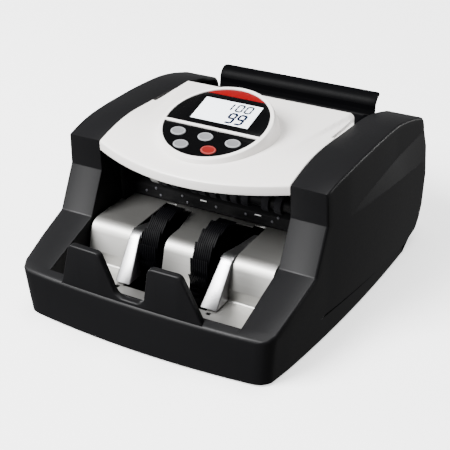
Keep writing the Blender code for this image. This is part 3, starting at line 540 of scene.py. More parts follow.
# -------- housing


def half_width(y):
    """Half of the body's width near its foot."""
    return BODY_HALF - FRONT_NARROWING * (max(103.0 - y, 0.0) / 263.0) ** 2.2


def inner_top(y):
    """Height of the side cover's upper edge beside the pocket."""
    if y < CREST_Y:
        return CREST_Z - 9.3 * ((CREST_Y - y) / 65.0) ** 2
    far = y - CREST_Y
    fall = 0.00365 * far**2 if far < 10 else 0.073 * far - 0.365
    return CREST_Z - fall - 12.6 * (max(y - 85.0, 0.0) / 73.0) ** 1.8


def crown(y):
    """How much the side cover's top falls from its inner to its outer edge."""
    return 3.0 * math.exp(-((y / 40.0) ** 2))


def swoosh_edges(y):
    """Lower and upper edge of the slanting facet on the side."""
    far = max(y - SWOOSH_TIP[0], 0.0)
    return SWOOSH_TIP[1] - 0.107 * far, SWOOSH_TIP[1] + 10.5 * (1 - math.exp(-far / 55.0))


def crease_z(y):
    return CREASE_START[1] - CREASE_SLOPE * (y - CREASE_START[0])


def front_y(z):
    """The front's lean: its foot stands a little ahead of its rim."""
    return FRONT_Y + 2.0 * clamp(z / RIM_Z)


def corner_drop(y, z):
    """How far the side turns in over the round front corner."""
    share = 1 - clamp((y - front_y(z)) / CORNER_R)
    return CORNER_R * (1 - math.sqrt(1 - share**2))


def side_x(y, z, ledge=0.0):
    """Outer face of a side cover. `ledge` raises the crease's step for the wall's inner face."""
    draft = 3.4 * (z / 145.0) ** 2 * (1 - 0.5 * clamp((y - 30.0) / 130.0))
    flare = 4.5 * clamp(z / 47.0) * clamp((FACE_Y - y) / 100.0)
    low, high = swoosh_edges(y)
    depth = SWOOSH_DEPTH * clamp((y - SWOOSH_TIP[0]) / 110.0)
    swoosh = depth * clamp((z - low) / (high - low)) if high > low else 0.0
    step = CREASE_DEPTH * clamp((y - CREASE_START[0]) / 195.0) * clamp(crease_z(y) + ledge - z)
    step *= clamp((z + 9.0) / (crease_z(y) + 9.0))
    under = crease_z(y) + ledge - z
    groove = GROOVE_DEPTH * clamp((y - CREASE_START[0]) / 12.0)
    groove *= clamp(under / GROOVE_LIP) * clamp((GROOVE_H - under) / GROOVE_LIP)
    return half_width(y) - draft + flare - swoosh - step - groove - corner_drop(y, z)


def bow(x, y, z):
    """The front's plan curve: how far a point moves back at a distance x from the middle."""
    amount = 5.0 + 3.5 * (1 - clamp(z / RIM_Z))
    return amount * (x / 125.0) ** 2 * clamp((-125.0 - y) / 38.0)


def rim_arc():
    """The round edge between the front wall and the shelf behind it, in y, z."""
    start = Vector((front_y(RIM_Z - 3.4), RIM_Z - 3.4))
    corner = Vector((FRONT_Y + 1.9, RIM_Z + 0.1))
    return arc(start, corner, Vector((FRONT_Y + 6.2, RIM_Z + 1.1)), 5)


def side_outline(fine=True):
    """(y, z) round a side cover, from the front over the top to the rear, closed well below the floor."""
    points = [(front_y(z), z) for z in (FOOT_Z, 7.0, 25.0)]
    points += rim_arc()
    points += [(-149.0, 51.0), (-115.0, 61.6)]
    points += fillet([(-115.0, 61.6), SLOPE_TOP, FACET_TOP], 3.0, 3)[1:-1]
    points += fillet([SLOPE_TOP, FACET_TOP, (FACE_Y, 128.0)], 2.0, 3)[1:-1]
    points += [(FACE_Y, 128.0)]
    top = [(y, inner_top(y) - crown(y)) for y in even(FACE_Y, 148.0, 36 if fine else 12)]
    rear = [(156.0, 130.5), (161.0, 124.0), (163.2, 114.0), (163.5, 98.0)]
    rear += [(160.5, 69.0), (155.0, 36.0), (148.0, 22.0), (139.0, 12.5), (121.0, 10.5), (106.0, -1.0)]
    points += top + (fillet([top[-1]] + rear, 14.0, 4)[1:] if fine else rear)
    return points + [(y, FOOT_Z) for y in (80.0, 50.0, 20.0, -10.0, -40.0, -70.0, -100.0, -130.0)]


def feature_lines(polygon, ledge, step):
    """The facet's two edges, the crease and the round front corner, as (y, z) runs inside the outline."""
    runs = [[(y, swoosh_edges(y)[pick]) for y in spaced(-18.0, 159.0, step)] for pick in (0, 1)]
    for below in (0.0, GROOVE_LIP, 1.0, GROOVE_H - GROOVE_LIP, GROOVE_H) if step < 20 else (0.0, 1.0):
        runs.append([(y, crease_z(y) + ledge - below) for y in spaced(-70.0, 136.0, step)])
    shares = (0.04, 0.12, 0.25, 0.42, 0.6, 0.8, 1.0) if step < 20 else (0.42, 0.72, 1.0)
    for back in shares:
        runs.append([(front_y(z) + CORNER_R * back, z) for z in spaced(FOOT_Z + 3, 42.0, max(step, 8))])
    return [[p for p in run if inside(p, polygon)] for run in runs]


def side_body(side, skin=0.0, x_inner=POCKET_HALF, rounds=(0.0, 0.3, 1.0), step=36.0, lip=0.0):
    """The solid within a side cover's outer surface, or that surface moved inwards by `skin`."""
    outline = inset(side_outline(step < 20), skin)
    outline = [(y, FOOT_Z if z < FOOT_Z + skin + 0.5 else z) for y, z in outline]
    ledge = 2.0 * skin
    radius = max(EDGE_R - skin, 0.6)
    shape = bmesh.new()

    def vert(x, y, z):
        return shape.verts.new((side * min(x, SIDE_LIMIT), y + bow(x, y, z), z))

    def raised(y, z):
        return z + (crown(y) if z > 128.0 and y < 148.0 else 0.0)

    def sunk(k):
        return 1 - math.sqrt(max(1 - (1 - k) ** 2, 0.0))

    loops = []
    soft = [lip * clamp((y + 152.5) / 4.0) for y, _ in outline]
    for k in (1.0, 0.3, 0.0) if lip else (0.0,):
        ring = inset(outline, [reach * k for reach in soft])
        loops.append([vert(x_inner + a * sunk(k), y, raised(y, z)) for (y, z), a in zip(ring, soft)])
    rings = [inset(outline, radius * k) for k in rounds]
    for k, ring in zip(rounds, rings):
        loops.append([vert(side_x(y, z, ledge) - skin - radius * sunk(k), y, z) for y, z in ring])
    for low, high in zip(loops, loops[1:]):
        band(shape, low, high)
    shape.faces.new(loops[0])
    fill_side(shape, rings[-1], loops[-1], lambda y, z: vert(side_x(y, z, ledge) - skin, y, z), ledge, step)
    return shape


def fill_side(shape, ring, loop, vert, ledge, step):
    """Cover the inside of the last ring, keeping the feature lines as edges."""
    points = [Vector(p) for p in ring]
    edges = []
    for run in feature_lines(inset(ring, 1.2), ledge, step):
        start = len(points)
        points += [Vector(p) for p in run]
        edges += [(k, k + 1) for k in range(start, len(points) - 1)]
    fine = step < 20
    clear = inset(ring, 3.0 if fine else 9.0)
    margin = 1.5 if fine else 5.0
    rows = spaced(0.0, 146.0, 5.0) if fine else (36, 58, 74, 128)
    for y in spaced(-146.0, 160.0, step):
        for z in rows:
            low, high = swoosh_edges(y)
            near = abs(z - low) < margin or abs(z - high) < margin or (not fine and low < z < high)
            on_edge = y > -22 and near
            on_crease = y > -74 and abs(z - crease_z(y) - ledge + 1.0) < 2.5
            if inside((y, z), clear) and not on_edge and not on_crease:
                points.append(Vector((y, z)))
    done = delaunay_2d_cdt(points, edges, [list(range(len(ring)))], 1, 1e-5)
    made = {}
    for i, (place, source) in enumerate(zip(done[0], done[3])):
        on_ring = [s for s in source if s < len(ring)]
        made[i] = loop[on_ring[0]] if on_ring else vert(place.x, place.y)
    for face in done[2]:
        shape.faces.new([made[i] for i in face])


def side_cover(name, side):
    """A moulded side shell, open below and, behind the pocket, towards the middle."""
    shape = side_body(side, rounds=(0.0, 0.08, 0.22, 0.45, 0.7, 1.0), step=6.0, lip=0.9)
    cover = piece(name + "_shell", shape, HOUSING, None)
    low, high = span(side, POCKET_HALF - 1, POCKET_HALF + 3.4)
    combine(cover, box(span(side, 90, 160), (-180, 180), (FOOT_Z - 9, BOTTOM_Z)))
    combine(cover, side_body(side, WALL, POCKET_HALF + 2.4, (0.0, 1.0)))
    opening = inset(side_outline(False), WALL + 0.5)
    opening = [(y, FOOT_Z - 1 if z < BOTTOM_Z else z) for y, z in opening if y > -30.0]
    opening = [(-34.0, FOOT_Z - 1), (-34.0, inner_top(-34.0) - crown(-34.0) - WALL - 0.5)] + opening
    combine(cover, prism("X", opening, low, high))
    combine(cover, box((low, high), (-76.0, -33.0), (-7.0, 64.0)))
    combine(cover, box((low, high), (-149.0, -75.0), (-7.0, 28.0)))
    fixed(cover, name, "black_plastic", 32.0)
    crisp(cover.data)


def crisp(mesh):
    """Keep the slanting facet's two edges and the crease sharp, though they turn by only a few degrees."""
    for edge in mesh.edges:
        ends = [mesh.vertices[k].co / MM for k in edge.vertices]
        if min(abs(p.x) for p in ends) < 118.0 or min(p.y for p in ends) < SWOOSH_TIP[0] + 4.0:
            continue
        lines = [(*swoosh_edges(p.y), crease_z(p.y), crease_z(p.y) - GROOVE_H) for p in ends]
        if any(all(abs(p.z - line[k]) < 0.12 for p, line in zip(ends, lines)) for k in range(4)):
            edge.use_edge_sharp = True


def base_tray():
    """Floor, front wall with its rim, and the rear wall that holds the power inlet and switch."""
    wall = [(FRONT_Y, BOTTOM_Z)] + [(front_y(z), z) for z in (12.0, 25.0, 36.0)] + rim_arc()
    wall += [(-154.0, 49.6), (-151.5, RIM_Z + 2.9), (-151.5, RIM_Z + 0.3), (-158.2, RIM_Z - 2.0)]
    wall += [(-159.4, 24.0), (-160.2, 4.5), (-125.0, 4.5), (-125.0, BOTTOM_Z)]
    front = prism("X", wall, -POCKET_HALF + 0.02, POCKET_HALF - 0.02)
    in_strips(front, spaced(-96.0, 96.0, 8.0))
    split_large(front)
    for vert in front.verts:
        vert.co.y = max(vert.co.y + bow(*vert.co), FRONT_Y + 0.001)
    tray = piece("tray", front, HOUSING, None)
    ys = (-131.0, -110.0, -85.0, -60.0, -20.0, 30.0, 102.0)
    plan = [(side_x(y, 3.0) - 3.4, y) for y in ys]
    plan += [(-x, y) for x, y in reversed(plan)]
    combine(tray, prism("Z", plan, BOTTOM_Z + 0.05, BOTTOM_Z + 2.45), "UNION")
    rear = fillet([(110.0, 2.05), (122.0, 10.8), (138.5, 12.8), (138.5, 50.0)], 6.0, 4)[1:-1]
    rear = [(98.0, 2.05), (110.0, 2.05)] + rear + [(138.5, 50.0), (136.0, 50.0)]
    rear += [(136.0, 15.2), (120.5, 13.2), (109.0, 4.45), (98.0, 4.45)]
    combine(tray, prism("X", rear, -99.0, 99.0), "UNION")
    combine(tray, note_stop_shape(0.15, -3.0, 0.0))
    for x, y in foot_places():
        combine(tray, rod(3.4, 0, 10, 24, at(x, y)))
    combine(tray, box((-75.8, -44.2), (130, 145), (20.2, 43.8)))
    combine(tray, box((48.2, 71.8), (130, 145), (22.7, 41.3)))
    for x in spaced(-60.0, 60.0, 8.0):
        combine(tray, soften(box((x - 1.6, x + 1.6), (10.0, 44.0), (0.0, 8.0)), 1.2, 2, 60.0))
    fixed(tray, "base_tray", "black_plastic", 32.0)


def note_stop_outline(grow=0.0, fine=True):
    """The two fins and the dip between them, in x, z."""
    points = [(-80.7, 34.0), (-80.7, 46.0), (-68.3, 90.2), (-35.7, 90.2), (-20.4, 53.6), (-14.0, 50.8)]
    points += [(3.8, 50.8), (9.4, 54.6), (15.7, 90.2), (47.3, 90.2), (68.0, 47.0), (69.6, 34.0)]
    radii = (0.0, 2.0, 6.5, 7.0, 12.0, 9.0, 9.0, 9.0, 6.5, 7.0, 0.0, 0.0)
    rounded = []
    for i, radius in enumerate(radii):
        if radius:
            corner = [points[i - 1], points[i], points[(i + 1) % len(points)]]
            rounded += fillet(corner, radius, 6 if fine else 3)[1:-1]
        else:
            rounded.append(points[i])
    return inset(rounded, -grow)


def note_stop_shape(grow=0.0, down=0.0, round_r=1.5):
    """The note stop as a plate that follows the front's plan curve."""
    shape = prism("Y", note_stop_outline(grow, bool(round_r)), -160.0 - grow, -153.0 + grow)
    if round_r:
        soften(shape, round_r, 3, 60.0)
    in_strips(shape, [x + 0.13 for x in spaced(-76.0, 68.0, 9.0)])
    split_large(shape)
    for vert in shape.verts:
        if vert.co.z < 36.0:
            vert.co.z += down
        vert.co.y += bow(vert.co.x, -161.0, RIM_Z)
    return shape


def note_stop():
    """The two-finned plate that stops the counted notes."""
    piece("note_stop_fins", note_stop_shape(), HOUSING, "chassis", ("note_stop",), "black_plastic", 45.0)


def foot_places():
    """The middles of the four rubber feet, from the frame."""
    places = []
    for number in range(1, 5):
        low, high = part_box(f"foot_{number}")
        places.append(((low[0] + high[0]) / 2 / MM, (low[1] + high[1]) / 2 / MM))
    return places


def feet():
    """Turned rubber feet with a hollow for the screw head and a ring of fine grooves."""
    for number, (x, y) in enumerate(foot_places(), 1):
        profile = [(0, 0.9), (2.6, 0.9), (3.0, 0.6), (3.2, 0), (5.0, 0), (5.2, 0.3), (5.5, 0.3), (5.7, 0)]
        profile += [(7.9, 0), (8.4, 0.25), (8.6, 0.7), (8.6, 1.5), (8.45, 1.7), (3, 1.7), (3, 7), (0, 7)]
        shape = turned(profile, 40, at(x, y))
        piece(f"foot_{number}_rubber", shape, RUBBER, "chassis", (f"foot_{number}",), "rubber")


# -------- top cover


def cover_edge(x, y):
    """Upper surface of the top cover without its moulded folds."""
    across = 1 - (x / POCKET_HALF) ** 2
    inward = y - (FACE_Y - COVER_BOW * across)
    run = FACE_Y + inward
    edge = CREST_Z + 0.5 - 9.8 * (max(CREST_Y - run, 0.0) / 65.0) ** 2
    return edge - 3.0 * across * clamp(1 - inward / 100.0)


def cover_z(x, y):
    """Upper surface of the top cover; beyond a soft fold on each side the margin drops towards the rear."""
    fold = 77.0 + 15.0 * clamp((y + 14.0) / 90.0) ** 1.2
    fade = eased((y + 30.0) / 90.0)
    ledge = 2.6 * eased((y - 31.0) / 3.0) * clamp((abs(x) - 95.6) / 0.6)
    return cover_edge(x, y) - 3.0 * fade * eased((abs(x) - fold + 1.5) / 4.5) - ledge


def cover_half(y):
    """Half width: it steps in towards the rear."""
    return COVER_HALF - 5.5 * clamp((y - 74.0) / 12.0)


def cover_profile(u, drop):
    """One lengthwise section of the lid at a share `u` of its half width: rear flange, top and front lip."""
    front = FACE_Y - COVER_BOW * (1 - u * u)

    def top(y):
        return cover_z(u * cover_half(y), y) - drop

    rear_z = top(COVER_REAR_Y)
    outer = [(COVER_REAR_Y, z) for z in spaced(128.5, rear_z - 1.6, 8.0)]
    inner = [(COVER_REAR_Y - COVER_T, z) for _, z in outer]
    outer += [(COVER_REAR_Y - a, rear_z - b) for a, b in ((0.2, 0.8), (0.8, 0.2))]
    inner += [(COVER_REAR_Y - COVER_T, rear_z - COVER_T)] * 2
    for y in even(COVER_REAR_Y - 1.6, front + 1.6, 75):
        outer.append((y, top(y)))
        inner.append((clamp(y, front + COVER_T, COVER_REAR_Y - COVER_T), top(y) - COVER_T))
    edge = top(front)
    outer += [(front + b, edge - a) for a, b in ((0.2, 0.8), (0.8, 0.2), (1.6, 0.0))]
    inner += [(front + COVER_T, edge - COVER_T)] * 3
    for z in (edge - 4.0, edge - 6.5, edge - LIP_H + 0.7):
        outer.append((front, z))
        inner.append((front + COVER_T, z))
    outer += [(front + 0.2, edge - LIP_H + 0.2), (front + 0.7, edge - LIP_H)]
    inner += [(front + COVER_T - 0.1, edge - LIP_H + 0.1), (front + COVER_T - 0.5, edge - LIP_H)]
    return [(u * cover_half(y), y, z) for y, z in outer + inner[::-1]]


def cover_shell():
    """The lid as a thin shell through sections from its left to its right edge, which are rounded off."""
    near = (0.0, 0.0012, 0.004, 0.008, 0.02, 0.034, 0.0405, 0.05)
    shares = [-1 + d for d in near] + spaced(-0.94, 0.94, 0.0235) + [1 - d for d in near[::-1]]
    radius = 0.8
    rings = []
    for u in shares:
        inset_by = min((1 - abs(u)) * COVER_HALF, radius)
        drop = radius - math.sqrt(radius**2 - (radius - inset_by) ** 2)
        rings.append(cover_profile(u, drop))
    # The rear flange has more rows in the middle of the lid; cutting all rings to one length leaves them out.
    return loft([ring[: len(rings[0])] for ring in rings])


def under_cover(drop, count=24):
    """Everything below the lid's upper surface moved down by `drop`."""
    rings = []
    for u in even(-1.0, 1.0, count):
        line = [(u * cover_half(y), y) for y in even(FACE_Y - COVER_BOW * (1 - u * u), COVER_REAR_Y, count)]
        rings.append([(x, y, cover_z(x, y) - drop) for x, y in line] + [(x, y, 90.0) for x, y in line[::-1]])
    return loft(rings)


def segment(radius, low, high, count=120):
    """The part of a disc between two heights v, as an outline in u, v."""
    first, last = (math.asin(clamp(v / radius, -1, 1)) for v in (low, high))
    angles = even(first, last, max(3, int(abs(last - first) / (2 * math.pi / count))))
    points = [(radius * math.cos(a), radius * math.sin(a)) for a in angles]
    points += [(-u, v) for u, v in points[::-1]]
    kept = []
    for p in points:
        if not kept or math.dist(p, kept[-1]) > 0.01:
            kept.append(p)
    if math.dist(kept[0], kept[-1]) < 0.01:
        kept.pop()
    return kept


def window_outline(grow=0.0):
    u, v, width, height = WINDOW
    a, b = width / 2 + grow, height / 2 + grow
    return [(u - a, v - b), (u + a, v - b), (u + a, v + b), (u - a, v + b)]


def top_cover():
    """White lid: a thin crowned shell with a round raised island that holds the panel."""
    wall = [(0, 0)] + fillet([(51.0, 0), (53.9, -0.1), (55.6, -5.0), (57.2, -14.0), (58.6, -32)], 1.3, 5)
    wall += [(0, -32)]
    island = piece("island", on_disc(turned(wall, 128)), WHITE, None)
    combine(island, under_cover(COVER_T - 0.8))
    raised = bmesh.new()
    raised.from_mesh(island.data)
    bmesh.ops.scale(raised, vec=(1 / MM,) * 3, verts=raised.verts)
    bpy.data.objects.remove(island, do_unlink=True)
    cover = piece("top_cover_shell", cover_shell(), WHITE, None)
    combine(cover, raised, "UNION")
    combine(cover, on_disc(rod(47, -60, -5.2, 64)))
    for low, high in ((BAR_V[1], DISC_R), (-DISC_R, BAR_V[0])):
        combine(cover, on_disc(prism("Z", segment(DISC_R, low, high), -RECESS_H, 8)))
    combine(cover, on_disc(prism("Z", window_outline(), -7, 0)))
    for u, v in KEYS.values():
        combine(cover, on_disc(rod(3.3, -7, 0, 24, at(u, v))))
    fixed(cover, "top_cover", "white_plastic", 30.0)


# -------- display and keys


def panels():
    """Display, accent and key panels, each with a softened edge."""
    r = DISC_R - 0.12
    split = ACCENT_V - 0.06
    rows = (
        ("display_glass", segment(r, BAR_V[1] + 0.12, split), GLOSS, "display_panel", "gloss_black"),
        ("accent_inlay", segment(r, split + 0.12, r), ACCENT, "accent_panel", "red_plastic"),
        ("key_plate", segment(r, -r, BAR_V[0] - 0.12), GLOSS, "key_panel", "gloss_black"),
    )
    for name, outline, material, node, slot in rows:
        shape = soften(prism("Z", outline, -RECESS_H + 0.3, PANEL_TOP), 0.25, 2, 60.0)
        panel = piece(name, on_disc(shape), material, None)
        if name == "display_glass":
            combine(panel, on_disc(prism("Z", window_outline(), -8, 4)))
        for u, v in KEYS.values() if name == "key_plate" else ():
            combine(panel, on_disc(rod(KEY_R + 0.4, -8, 4, 48, key_place(u, v))))
        fixed(panel, node, slot, 30.0)
    face = soften(prism("Z", window_outline(-0.1), -6.5, PANEL_TOP - 0.25), 0.15, 1, 60.0)
    piece("lcd_face", on_disc(face), LCD, "chassis", ("lcd_screen",), "lcd", 30.0)


def digit_strokes(which, left, low, width, height, stroke, tilt):
    """The lit strokes of a seven-segment digit as six-sided bars in u, v."""
    lit = {"0": "abcdef", "1": "bc", "9": "abcdfg"}[which]
    # Each stroke's ends, as the column and the row of half heights from the lower left corner.
    ends = {"a": ((0, 2), (1, 2)), "b": ((1, 1), (1, 2)), "c": ((1, 0), (1, 1)), "d": ((0, 0), (1, 0))}
    ends |= {"e": ((0, 0), (0, 1)), "f": ((0, 1), (0, 2)), "g": ((0, 1), (1, 1))}
    bars = []
    for key in lit:
        a, b = (Vector((left + width * column, low + height * row / 2)) for column, row in ends[key])
        along = (b - a).normalized()
        across = Vector((-along.y, along.x)) * stroke / 2
        a, b = a - along * 0.1 * stroke, b + along * 0.1 * stroke
        near, far = a + along * stroke / 2, b - along * stroke / 2
        outline = [a, near - across, far - across, b, far + across, near + across]
        bars.append([(p.x + (p.y - low) * tilt, p.y) for p in outline])
    return bars


def digits():
    """The two numbers on the display, as thin raised strokes."""
    low, high = PANEL_TOP - 0.3, PANEL_TOP - 0.12
    lines = (
        ("batch_number", "100", -0.9, 20.6, 5.8, 9.4, 1.9, DIGIT_THIN, 9.4),
        ("count_number", "99", 6.6, 3.2, 6.4, 13.4, 2.5, DIGIT_BOLD, 9.9),
    )
    for name, text, left, base, width, height, stroke, material, pitch in lines:
        bars = []
        for place, which in enumerate(text):
            start = left + place * pitch - (1.5 if which == "1" else 0.0)
            outlines = digit_strokes(which, start, base, width, height, stroke, DIGIT_SLANT)
            bars += [prism("Z", outline, low, high) for outline in outlines]
        piece(name, on_disc(merged(*bars)), material, "chassis", (), "lcd", 30.0)


def key_place(u, v):
    """Moves a turned shape to a key's place and flattens it to the key's oval."""
    return at(u, v) @ Matrix.Diagonal((1, KEY_OVAL, 1, 1))


def keys():
    """Five push keys: a dished cap with a paler ring round it, and a stem towards its switch."""
    cap = [(0, -0.45), (2.2, -0.4), (4, -0.28), (5.2, -0.14), (5.9, -0.1), (6, -0.2), (6, -2), (0, -2)]
    ring = [(6.05, -0.15), (6.2, -0.03), (6.8, -0.02), (7.2, -0.1), (7.5, -0.4), (7.6, -0.8), (7.6, -2.2)]
    ring += [(2.8, -2.2), (2.8, -8.2), (2.0, -8.2), (2.0, -2.05), (6.05, -2.05)]
    for name, (u, v) in KEYS.items():
        red = name == "key_reset"
        slot = "key_red" if red else "key_grey"
        rim, face = (on_disc(turned(profile, 64, key_place(u, v))) for profile in (ring, cap))
        piece(name + "_rim", rim, KEY_RED_RIM if red else KEY_RIM, name, (name,), slot)
        piece(name + "_face", face, KEY_RED if red else KEY_GREY, name, (), slot)


# -------- stacker pocket


def stacker_plate():
    """One folded stainless sheet with a slot for each stacker wheel and a small window ahead of each rib."""
    path = fillet([(-20, 72), (-84.0, 71.2), (-93.2, 45.5), (-93.5, 32), (-151.2, 32)], 15.0, 12)
    path = [p for p in path if p[0] > -90.8]
    path += fillet([(-90.8, 52.5), (-93.0, 44.0), (-93.6, 32), (-151.2, 32)], 3.2, 6)[1:]
    sheet = soften(prism("X", path_wall(path, STEEL_T), -PLATE_HALF, PLATE_HALF), 0.3, 1, 60.0)
    plate = piece("plate", sheet, STEEL, None)
    front, rear = SLOT_Y
    for side, (inner, outer) in zip((-1, 1), RIBS.values()):
        flare = TONGUE_FLARE if side < 0 else 0.0
        near, far = side * TONGUE_HALF, inner + side * RIB_LAP
        slot = [(near, front), (near, FACE_Y), (near + side * flare, rear), (far, rear), (far, front)]
        combine(plate, prism("Z", slot, 20.0, 90.0))
        combine(plate, box(sorted((inner, outer + side * 0.3)), (-79.0, rear + 4.0), (60.0, 90.0)))
        combine(plate, box(span(side, 92.0, 99.0), (-36.0, -10.0), (60.0, 90.0)))
        middle = (inner + outer) / 2
        combine(plate, box((middle - 2.2, middle + 2.2), (-122.0, -118.2), (20.0, 40.0)))
    fixed(plate, "stacker_plate", "stainless", 25.0)


def note_rib(name):
    """A bright strip beside a wheel slot: low at the rear, proud of the plate on its way to the floor."""
    inner, outer = RIBS[name]
    side = 1 if outer > 0 else -1
    top = fillet([(-24.0, 62.5), (-58.0, 67.6), (-83.6, 73.2), (-116.0, 33.2)], 14.0, 10)
    under = [(-95.0, 33.2), (-94.6, 45.0), (-88.6, 61.6), (-83.2, 69.8)]
    under += [(-79.6, 70.9), (-78.6, 60.0), (-26.0, 56.0)]
    shape = soften(prism("X", top + under, *sorted((inner, outer))), 1.1, 3, 50.0)
    split_large(shape)
    for vert in shape.verts:
        if vert.co.y < -84.0 and abs(vert.co.x - inner) < 2.0:
            vert.co.x -= side * RIB_LEAN * clamp((68.0 - vert.co.z) / 36.0)
    piece(name + "_strip", shape, BRIGHT, "chassis", (name,), "stainless", 30.0)


def wheel_outline(radius, steps=7):
    """A hub with curved fingers whose tips trail the turn, in y, z about the axle."""
    points = []
    sides = [(share, -0.5) for share in even(0.0, 1.0, steps)]
    sides += [(share, 0.5) for share, _ in sides[::-1]]
    for finger in range(FINGERS):
        for share, lead in sides:
            reach = HUB_R + (radius - HUB_R) * share
            width = 2.4 - 1.3 * share
            angle = 2 * math.pi * finger / FINGERS - FINGER_SWEEP * share**1.9 + lead * width / reach
            points.append((reach * math.cos(angle), reach * math.sin(angle)))
    return points


def stacker_assembly():
    """Rubber wheels whose fingers are grooved round the rim, with a bored hub."""
    groove_r = WHEEL_R - 0.7
    for name, (low, high) in WHEELS.items():
        pitch = (high - low) / WHEEL_LANDS
        places = []
        for start in even(low, high, WHEEL_LANDS)[:-1]:
            places += [(start, groove_r), (start + 0.35, groove_r), (start + 0.6, WHEEL_R)]
            places.append((start + pitch - 0.25, WHEEL_R))
        places.append((high, groove_r))
        y, z = STACKER_C
        rings = [[(x, y + a, z + b) for a, b in wheel_outline(radius)] for x, radius in places]
        wheel = piece(name + "_rubber", loft(rings, "whole"), RUBBER, None)
        combine(wheel, rod(SHAFT_R + 0.1, low - 1, high + 1, 32, along_x(STACKER_C)))
        settle(wheel, "stacker", (name,), "rubber", 40.0)


SENSOR_DOTS = ((-77.0, 78.5), (-66.0, 83.0), (-60.5, 77.0), (-36.0, 82.0), (-30.0, 76.5))
SENSOR_DOTS += ((2.0, 79.5), (34.0, 80.0), (68.0, 84.0), (62.0, 79.0), (86.0, 79.0))
SENSOR_MARKS = ((-12.0, 82.5), (47.0, 82.0))


def sensor_bar():
    """Lower note guide with its row of counting sensors and two light slots."""
    outline = [(-21.4, 73.0), (-20.4, 84.0), (-14.0, 89.6), (-4.0, 89.6), (-4.0, 73.0)]
    guide = soften(prism("X", outline, -96.2, 96.2), 0.9, 3)
    piece("sensor_guide", guide, BAR, "chassis", ("sensor_bar",), "black_plastic")
    lean = Matrix.Rotation(math.atan2(11.0, 1.0), 4, "X")
    dome = [(0, 0.7), (0.7, 0.6), (1.2, 0.3), (1.45, -0.1), (1.45, -0.6), (0, -0.6)]
    lenses, slots = [], []
    for x, z in SENSOR_DOTS + SENSOR_MARKS:
        spot = at(x, -21.4 + (z - 73.0) / 11.0, z) @ lean
        if (x, z) in SENSOR_DOTS:
            lenses.append(turned(dome, 20, spot))
            continue
        slot = soften(box((-3.4, 3.4), (-0.55, 0.55), (-0.4, 0.3)), 0.25, 2)
        bmesh.ops.transform(slot, matrix=spot, verts=slot.verts)
        slots.append(slot)
    piece("sensor_lenses", merged(*lenses), LENS, "chassis", (), "gloss_black")
    piece("sensor_slots", merged(*slots), MARK, "chassis", (), "gloss_black")


def exit_assembly():
    """Exit shaft with its grey rubber bands and a pale collar at its left end."""
    core = [(0, -103), (3.6, -103), (SHAFT_R, -102.6), (SHAFT_R, -66.1), (5.9, -66.1), (5.9, 84)]
    core += [(SHAFT_R, 84), (SHAFT_R, 110.6), (3.6, 111), (0, 111)]
    shape = turned(core, 40, along_x(EXIT_C))
    piece("exit_core", shape, INNER, "exit", ("exit_roller",), "rubber")
    bands = []
    for middle in EXIT_BANDS:
        a, b = middle - 3.6, middle + 3.6
        ring = [(5.7, a), (8.6, a), (8.85, a + 0.1), (9.0, a + 0.4)]
        ring += [(9.0, b - 0.4), (8.85, b - 0.1), (8.6, b), (5.7, b)]
        bands.append(turned(ring, 56, along_x(EXIT_C)))
    piece("exit_bands", merged(*bands), BAND, "exit", (), "rubber")
    collar = [(5.7, -66), (7.8, -66), (8.4, -65.4), (8.4, -57.6), (7.8, -57), (5.7, -57)]
    piece("exit_collar", turned(collar, 48, along_x(EXIT_C)), PALE, "exit", (), "rubber")


# -------- hopper and rear


def plate_z(y):
    """Upper face of the hopper's sloping bottom."""
    rise = (HOPPER_KNEE[1] - HOPPER_FOOT[1]) / (HOPPER_KNEE[0] - HOPPER_FOOT[0])
    return HOPPER_FOOT[1] + rise * (y - HOPPER_FOOT[0])


def hopper_path():
    """Sloping bottom, steep back and the lip that rolls backwards, in y, z."""
    path = fillet([HOPPER_FOOT, HOPPER_KNEE, (147.5, 131.0), (148.0, 135.8)], 5.0, 5)
    path += [(161.0 - 13.5 * math.cos(a), 132.5 + 13.5 * math.sin(a)) for a in even(0.25, 1.5, 14)]
    return path + [(161.6, 145.7), (162.7, 144.8), (163.2, 142.8)]


def hopper_plate():
    """Hopper bottom and back in one moulding, with round top corners, roller windows and guide slots."""
    path = hopper_path()
    lower = inset(path, HOPPER_T, False)
    lengths = [0.0]
    for a, b in zip(path, path[1:]):
        lengths.append(lengths[-1] + math.dist(a, b))
    rings = []
    corner = 9.0
    for top, bottom, length in zip(path, lower, lengths):
        left = clamp(lengths[-1] - length, 0.0, corner)
        half = HOPPER_HALF - (corner - math.sqrt(corner**2 - (corner - left) ** 2)) * 0.9
        middle = [(a + b) / 2 for a, b in zip(top, bottom)]
        sides = []
        for y, z in (top, bottom):
            line = []
            for t in (-1, -0.995, -0.98, -0.9, -0.6, -0.3, 0, 0.3, 0.6, 0.9, 0.98, 0.995, 1):
                x = half * t
                near = half - abs(x)
                share = 1.0 if near > 1.2 else math.sqrt(1 - (1 - near / 1.2) ** 2)
                line.append((x, middle[0] + (y - middle[0]) * share, middle[1] + (z - middle[1]) * share))
            sides.append(line)
        rings.append(sides[0] + sides[1][-2:0:-1])
    plate = piece("hopper", loft(rings, "pointed"), HOPPER, None)
    for side in (-1, 1):
        combine(plate, soften(box(span(side, 26.5, 45.5), (84, 112), (84, 112)), 1.5, 3))
        combine(plate, box(span(side, 56.0, 89.5), (115.5, 124.5), (95, 122)))
    fixed(plate, "hopper_plate", "black_plastic", 35.0)


